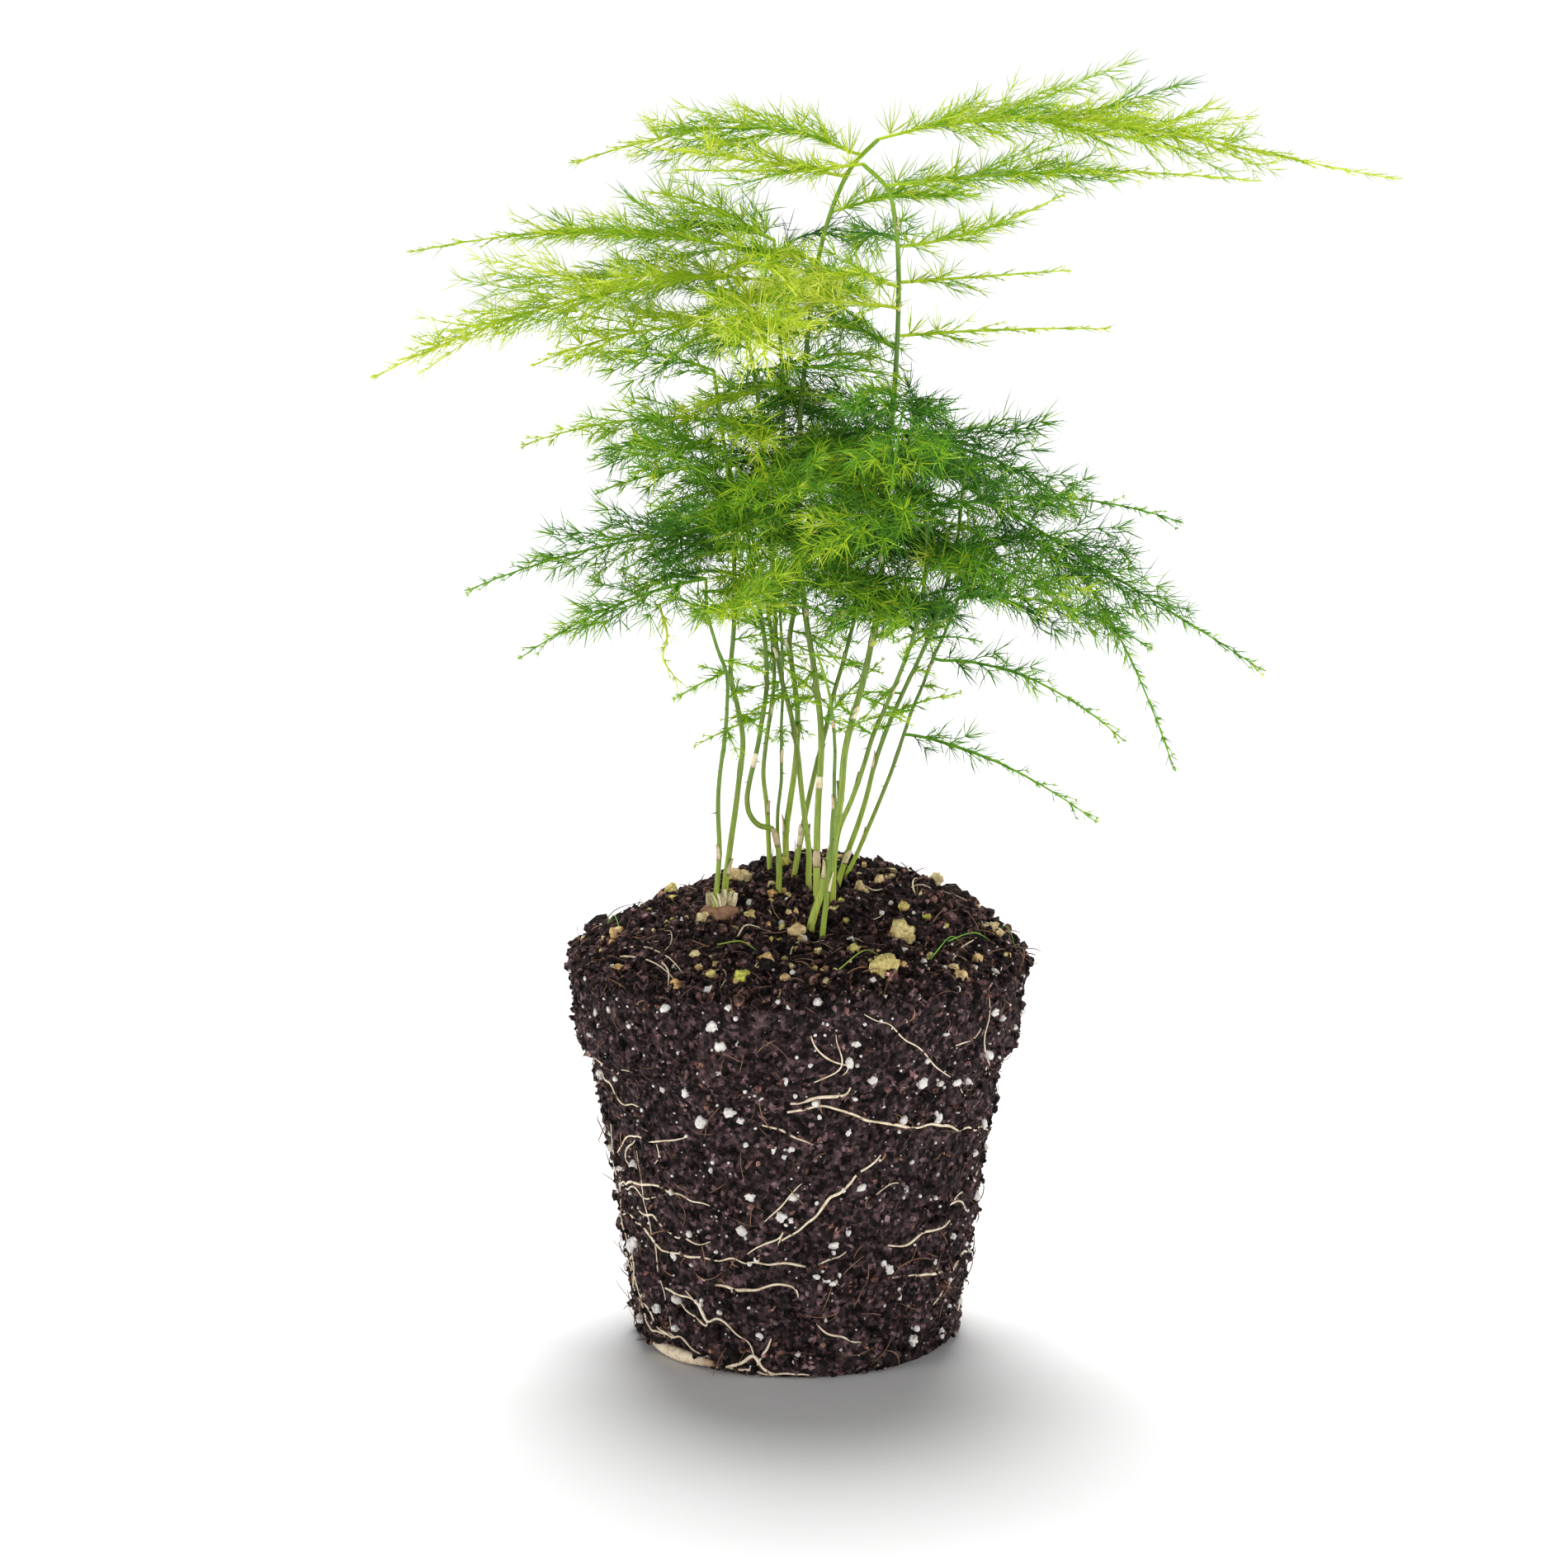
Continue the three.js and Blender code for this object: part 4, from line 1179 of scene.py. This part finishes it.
# the larger lumps that lie on top: x, y and radius in millimetres, and tone from tan to green
bigLumps = [
    (26, -20, 3.4, 0.5), (21, -44, 3.3, 0.55), (-14, -48, 2.6, 0.85), (-15, 11, 3.0, 0.3), (49, -7, 2.6, 0.4),
    (-8, -41, 2.2, 0.15), (0, -20, 1.8, 0.3), (27, -7, 1.5, 0.6), (16, 2, 1.7, 0.3), (52, -4, 2.0, 0.5),
    (-46, -13, 1.7, 0.2), (-24, -12, 1.6, 0.4), (-12, -12, 1.5, 0.5), (36, 14, 2.4, 0.4), (-33, 20, 2.6, 0.6),
    (14, -31, 1.6, 0.6), (-30, -46, 1.7, 0.1), (40, -38, 1.9, 0.2), (45, -27, 2.1, 0.15), (33, -30, 1.2, 0.5),
    (-20, -40, 1.2, 0.4), (5, -34, 1.3, 0.5), (-38, -22, 1.4, 0.3), (10, -8, 1.4, 0.6), (-3, -50, 1.3, 0.2),
    (8, 42, 2.6, 0.2), (-18, 38, 2.0, 0.5), (30, 36, 2.3, 0.65), (44, 22, 1.9, 0.3), (-40, 28, 1.7, 0.4),
]
lumpStyle = {"small": 150, "smallSize": (0.5, 1.5), "within": 56}
spots = np.array([onTop(x * mm, y * mm) for x, y, _, _ in bigLumps])
sizes = np.array([size for _, _, size, _ in bigLumps]) * mm
tones = [tone for *_, tone in bigLumps]
largeLumps = stones("largeLumps", spots + up * sizes[:, None] * 0.3, sizes, tones, grainRandom)
spread = []
while len(spread) < lumpStyle["small"]:
    x, y = grainRandom.uniform(-lumpStyle["within"], lumpStyle["within"], 2)
    if math.hypot(x, y) < lumpStyle["within"]:
        spread.append(onTop(x * mm, y * mm))
sizes = grainRandom.uniform(*lumpStyle["smallSize"], len(spread)) * mm
body = lumps(smallLump, np.array(spread) + up * sizes[:, None] * 0.3, sizes, grainRandom, 0.2, (0.7, 1.2))
smallLumps = scattered("smallLumps", smallLump, body, {"tone": grainRandom.beta(1.5, 2.5, len(spread))})
addPiece("pumice_lumps", joined("pumice", [largeLumps, smallLumps]), patchy["pumice"])
print("perlite and pumice made")


# roots on the ball
# routes over the side of the ball: azimuth in degrees, height in millimetres; then radius in millimetres
frontRoots = [
    ([(268, 74), (274, 76), (279, 76), (283, 77), (283, 79.5)], 0.6),
    ([(267, 72), (272, 72), (277, 73), (285, 71), (290, 68), (296, 67), (304, 65), (311, 65), (325, 62),
      (340, 58)], 0.5),
    ([(294, 59), (291, 57), (287, 55), (285, 52), (280, 50), (278, 47), (274, 43), (269, 40),
      (264, 37)], 0.5),
    ([(254, 31), (263, 32), (275, 31), (285, 35)], 0.42),
    ([(193, 42), (214, 47), (224, 48), (230, 47), (234, 47), (243, 46)], 0.45),
    ([(195, 35), (210, 35), (221, 31), (230, 31), (238, 31), (247, 31), (254, 31)], 0.42),
    ([(238, 26), (241, 24), (246, 24), (253, 24), (260, 25), (267, 26), (270, 24), (270, 22)], 0.5),
    ([(243, 1), (251, 4), (255, 6), (258, 2.5), (264, 1.5)], 0.6),
    ([(256, 5), (259, 8), (261, 11)], 0.45),
    ([(299, 34), (306, 35), (315, 36), (323, 36), (329, 38)], 0.45),
    ([(284, 98), (289, 96), (298, 90), (309, 80), (327, 69)], 0.28),
    ([(200, 52), (210, 58), (220, 60), (226, 60), (231, 62), (237, 63)], 0.36),
    ([(260, 68), (265, 67), (268, 65), (274, 63)], 0.38),
    ([(273, 92), (274, 89), (278, 87), (281, 86), (283, 84), (281, 82)], 0.32),
    ([(272, 81), (276, 81), (280, 83), (281, 86), (279, 91), (279, 93)], 0.25),
    ([(311, 86), (315, 87), (320, 87), (322, 89)], 0.32),
    ([(230, 21), (236, 16), (239, 12), (231, 15), (223, 20)], 0.34),
    ([(198, 24), (202, 15), (211, 11), (214, 7), (224, 7)], 0.36),
    ([(276, 15), (282, 12), (289, 10), (294, 8)], 0.36),
    ([(260, 43), (265, 47), (269, 51), (271, 53)], 0.28),
    ([(321, 42), (328, 42), (336, 37)], 0.35),
    ([(333, 74), (325, 83), (326, 91), (324, 97)], 0.28),
    ([(293, 49), (298, 51), (304, 51)], 0.25),
    ([(196, 60), (194, 45), (193, 30), (197, 14)], 0.34),
    ([(214, 55), (216, 40), (219, 22), (222, 8)], 0.22),
    ([(221, 20), (228, 20), (234, 18), (239, 13), (242, 15), (246, 13), (250, 11), (253, 10),
      (255, 6)], 0.42),
    ([(188, 22), (193, 17), (202, 12), (205, 7), (217, 7), (226, 7), (234, 4), (240, 1)], 0.4),
    ([(323, 14), (328, 17), (334, 20)], 0.3),
    ([(322, 41), (329, 43), (340, 46), (345, 47)], 0.3),
    ([(244, 1), (257, 1), (265, 1), (274, 1)], 0.45),
    ([(196, 45), (202, 44), (211, 45), (216, 43), (222, 45)], 0.3),
    ([(206, 39), (218, 38), (224, 36), (234, 35), (242, 35)], 0.4),
    ([(214, 59), (207, 53), (208, 50), (213, 51)], 0.3),
    ([(225, 59), (225, 56), (222, 53)], 0.26),
    ([(254, 33), (259, 36), (264, 38), (266, 41), (264, 37)], 0.3),
]
rootStyle = {
    "behind": 24,  # how many run round the back
    "radius": (0.24, 0.55),  # theirs, in millimetres
    "wander": 0.7,  # millimetres
    "proud": 0.45,  # how far the middle stands out of the peat, as a share of the radius
    "thickness": 0.78,
    "lumpy": 0.12,
}
rootRandom = np.random.default_rng(47)
routes = list(frontRoots)
for _ in range(rootStyle["behind"]):  # the same kinds of root round the back and the sides
    azimuth, height = rootRandom.uniform(-25, 188), rootRandom.uniform(6, 84)
    drift, fall = rootRandom.choice([-1, 1]) * rootRandom.uniform(5, 9), rootRandom.normal(-1.5, 3.5)
    route = []
    for _ in range(rootRandom.integers(4, 9)):
        route.append((azimuth, min(max(height, 2), 88)))
        azimuth += drift * rootRandom.uniform(0.6, 1.3)
        height += fall + rootRandom.normal(0, 2.4)
    routes.append((route, rootRandom.uniform(*rootStyle["radius"])))

rootParts = []
for route, radius in routes:
    flat = np.array([(a, h, 0) for a, h in route], float)
    steps = max(10, int(np.hypot(np.diff(flat[:, 0]) * 0.85, np.diff(flat[:, 1])).sum() / 0.9))
    fine = smoothLine(flat, steps)
    bends = np.arange(0, steps + 3, 3)
    wiggle = np.interp(np.arange(steps), bends, rootRandom.normal(0, rootStyle["wander"], len(bends)))
    line = []
    for (a, h, _), w in zip(fine, wiggle):
        spot = onSide(a, max(h + w, 0.8) * mm)
        if spot is not None:
            out = unit(np.array([spot[0], spot[1], 0.0]))
            line.append(spot + out * radius * rootStyle["proud"] * mm)
    line = np.array(line)
    for _ in range(3):  # lift the line over the pits
        line[1:-1] = (line[:-2] + line[2:]) / 2 * 0.6 + line[1:-1] * 0.4
    line[:, 2] = np.maximum(line[:, 2], 0.75 * mm)
    shape = rodShape("root", 6, len(line))
    base = coordsOf(shape)
    share = np.linspace(0, 1, len(line))
    taper = 0.5 + 0.5 * np.sin(np.pi * np.clip(share * 0.9 + 0.1, 0, 1))
    thick = radius * rootStyle["thickness"] * mm * taper
    rough = np.interp(share, np.linspace(0, 1, 18), rootRandom.normal(0, 1, 18))
    thick = thick * (1 + rootStyle["lumpy"] * rough)
    tone = np.full((1, len(base)), rootRandom.uniform(0.45, 0.95))
    rootParts.append(scattered("root", shape, [bentRod(base, line, thick)], {"tone": tone}))
addPiece("surface_roots", joined("surfaceRoots", rootParts), patchy["rootSkin"])
print("roots made:", len(routes))

# the thick fleshy root in the notch at the base
lowRoot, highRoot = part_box("thick_root")
rootCo = coordsOf(nodes["thick_root"].data)
turns = np.degrees(np.arctan2(rootCo[:, 1], rootCo[:, 0])) % 360
rings = 30
angles = np.radians(np.linspace(turns.min() + 1, turns.max() - 1, rings))
radius = np.hypot(rootCo[:, 0], rootCo[:, 1]).mean()
level = np.full(rings, (lowRoot.z + highRoot.z) / 2)
line = np.stack([np.cos(angles) * radius, np.sin(angles) * radius, level], 1)
half = (highRoot.z - lowRoot.z) / 2
share = np.linspace(0, 1, rings)
thick = half * (0.35 + 0.65 * np.sin(np.pi * (0.12 + 0.8 * share))) * (1 + 0.05 * np.sin(share * 70))
shape = rodShape("thickRoot", 10, rings)
base = coordsOf(shape)
tone = 0.75 - 0.75 * np.abs(base[:, 2] - 0.45) ** 1.5 * 2.4
thickMesh = scattered("thickRoot", shape, [bentRod(base, line, thick)], {"tone": tone[None]})
addPiece("thick_root_detail", thickMesh, patchy["rootSkin"], ["thick_root"])


# rootstocks
for name in ("crown_left", "crown_centre", "crown_front", "crown_back"):  # slightly knobbly
    bm = welded(nodes[name].data)
    bmesh.ops.subdivide_edges(bm, edges=bm.edges[:], cuts=2, use_grid_fill=True)
    for v in bm.verts:
        v.co += v.normal * noise.noise(v.co * 500) * 0.35 * mm
    made = toMesh(bm, name)
    setTone(made, [0.8] * len(made.vertices))
    addPiece(f"{name}_knob", made, patchy["fibre"], [name])

budStyle = {"scales": 28, "radius": (0.6, 1.1), "length": (3.2, 5.8), "tone": (0.35, 1.0)}
low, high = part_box("crown_left")
middle = (low + high) / 2
for k in range(budStyle["scales"]):
    turn = k * 2.4
    ring = 0.6 + 2.4 * ((k * 0.618) % 1)
    x = middle.x + math.cos(turn) * ring * mm
    y = middle.y + math.sin(turn) * ring * 0.8 * mm
    axis = np.array([math.cos(turn) * 0.24, math.sin(turn) * 0.24, 0.95])
    foot = np.array([x, y, high.z - (1.4 + 0.5 * ring) * mm])
    radius = stemRandom.uniform(*budStyle["radius"]) * mm
    size = stemRandom.uniform(*budStyle["length"]) * mm
    placeScale(foot, axis, turn + math.pi / 2, radius, size, stemRandom.uniform(*budStyle["tone"]))
scaleMesh = scattered("scales", leafScale, scalesPlaced, {"tone": np.array(scaleTones)})
addPiece("papery_scales", scaleMesh, patchy["papery"])
print("rootstocks made")


# small things on the top
litterStyle = {
    "loose": 26,
    "length": (4, 12),  # millimetres, like the radius and the hop
    "radius": (0.14, 0.28),
    "hop": (0.2, 1.6),
    "tone": (0.1, 0.7),
}
litterRandom = np.random.default_rng(59)
litterShape = rodShape("litter", 4, 12)
litterBase = coordsOf(litterShape)


def overTop(points, radius, hop, tone):
    line = []
    for k, (x, y) in enumerate(points):
        spot = onTop(x * mm, y * mm)
        if spot is None:
            return None
        line.append(spot + up * (0.3 + hop * math.sin(math.pi * k / (len(points) - 1))) * mm)
    line = smoothLine(line, 12)
    return bentRod(litterBase, line, radius * mm * np.linspace(1, 0.4, 12)), tone


rootlets = [overTop(points, 0.3, 1.0, tone) for points, tone in [
    ([(-47, -22), (-42, -29), (-36, -35), (-31, -43), (-29, -49)], 0.35),
    ([(-44, -22), (-39, -25), (-33, -33), (-30, -38), (-28, -44)], 0.5),
    ([(-34, -34), (-32, -41), (-32, -47)], 0.6),
    ([(38, -32), (41, -24), (45, -16), (49, -1)], 0.4),
    ([(-10, 40), (0, 44), (12, 41), (20, 46)], 0.5),
    ([(30, 20), (38, 27), (41, 36)], 0.4),
]]
for _ in range(litterStyle["loose"]):
    turn = litterRandom.uniform(0, 6.28)
    x, y = np.array([math.cos(turn), math.sin(turn)]) * litterRandom.uniform(20, 52)
    bearing = litterRandom.uniform(0, 6.28)
    reach = litterRandom.uniform(*litterStyle["length"])
    bow = litterRandom.normal(0, 2.5)
    points = []
    for t in (0, 0.33, 0.67, 1):
        side = bow * math.sin(math.pi * t)
        points.append((x + math.cos(bearing) * reach * t - math.sin(bearing) * side,
                       y + math.sin(bearing) * reach * t + math.cos(bearing) * side))
    if max(math.hypot(*p) for p in points) < 56:
        radius, hop, tone = [litterRandom.uniform(*litterStyle[key]) for key in ("radius", "hop", "tone")]
        rootlets.append(overTop(points, radius, hop, tone))


def addLitter(name, laid, material):
    laid = [item for item in laid if item]
    tones = np.array([tone for _, tone in laid])
    mesh = scattered(name, litterShape, [placed for placed, _ in laid], {"tone": tones})
    addPiece(name, mesh, material)


addLitter("top_rootlets", rootlets, patchy["rootSkin"])

blades = [overTop(points, 0.22, 3.5, tone) for points, tone in [
    ([(33, -32), (38, -25), (41, -20)], 0.5), ([(51, 3), (54, -1), (56, -5)], 0.4),
    ([(36, -24), (44, -20), (49, -12)], 0.6), ([(-50, 5), (-47, -4), (-45, -12)], 0.5),
    ([(20, 40), (26, 44), (33, 43)], 0.5), ([(-20, -30), (-14, -34), (-9, -33)], 0.2),
    ([(10, -46), (16, -42), (20, -36)], 0.1),
]]
addLitter("green_blades", blades, patchy["blade"])
print("small things on the top made")


# room, light and camera
room = {
    "floor": (0.80, 0.83),  # the darker and the lighter patches of the floor
    "fill": 0.2,  # how strongly the white surroundings light the plant
    "backdrop": 1.05,  # how bright they look to the camera
    "suns": {  # direction, breadth in degrees and strength
        "overhead": ((0.0, -0.42, -1), 34, 4.3),
        "left": ((1.0, 0.6, -0.05), 30, 2.6),
        "right": ((-1.0, 0.35, -0.05), 35, 2.8),
        "front": ((-0.1, 1.0, -0.05), 30, 0.85),
    },
    "camera": (-3.5 * mm, -950 * mm, 307 * mm),
    "tilt": 9.7,  # degrees below level
    "lens": 86.6,
}
scene = bpy.context.scene
scene.view_settings.view_transform = "Standard"
floorMaterial, floorTree, floorShader = newMaterial("floor", 0.9)
floorTint = nodeOf(floorTree, "ShaderNodeTexNoise", Scale=3.0, Detail=1.0)
floorTree.links.new(objectPlace(floorTree), floorTint.inputs["Vector"])
floorStops = [(place, (tone, tone, tone)) for place, tone in zip((0.0, 1.0), room["floor"])]
floorColour = rampOf(floorTree, floorTint.outputs["Fac"], floorStops)
floorTree.links.new(floorColour, floorShader.inputs["Base Color"])
bm = bmesh.new()
bmesh.ops.create_grid(bm, x_segments=1, y_segments=1, size=6)
bmesh.ops.translate(bm, verts=bm.verts, vec=(0, 0, -0.2 * mm))
floor = addPiece("floor", toMesh(bm, "floor"), floorMaterial, rides=False)

# white all round to the eye, but softer as a light
world = bpy.data.worlds.new("studio")
scene.world = world
world.use_nodes = True
worldTree = world.node_tree
backdrop = worldTree.nodes["Background"]
backdrop.inputs["Color"].default_value = (1, 1, 1, 1)
rays = worldTree.nodes.new("ShaderNodeLightPath")
level = nodeOf(worldTree, "ShaderNodeMapRange")
level.inputs["To Min"].default_value = room["fill"]
level.inputs["To Max"].default_value = room["backdrop"]
wire(worldTree, (rays, "Is Camera Ray", level, "Value"), (level, "Result", backdrop, "Strength"))

for name, (direction, wide, strength) in room["suns"].items():
    lamp = bpy.data.lights.new(name, "SUN")
    lamp.angle = math.radians(wide)
    lamp.energy = strength
    made = bpy.data.objects.new(name, lamp)
    made.rotation_euler = Vector(direction).to_track_quat("-Z", "Y").to_euler()
    scene.collection.objects.link(made)

lens = bpy.data.cameras.new("camera")
lens.sensor_width = 36
lens.lens = room["lens"]
cameraObject = bpy.data.objects.new("camera", lens)
cameraObject.location = room["camera"]
cameraObject.rotation_euler = (math.radians(90 - room["tilt"]), 0, 0)
scene.collection.objects.link(cameraObject)
scene.camera = cameraObject
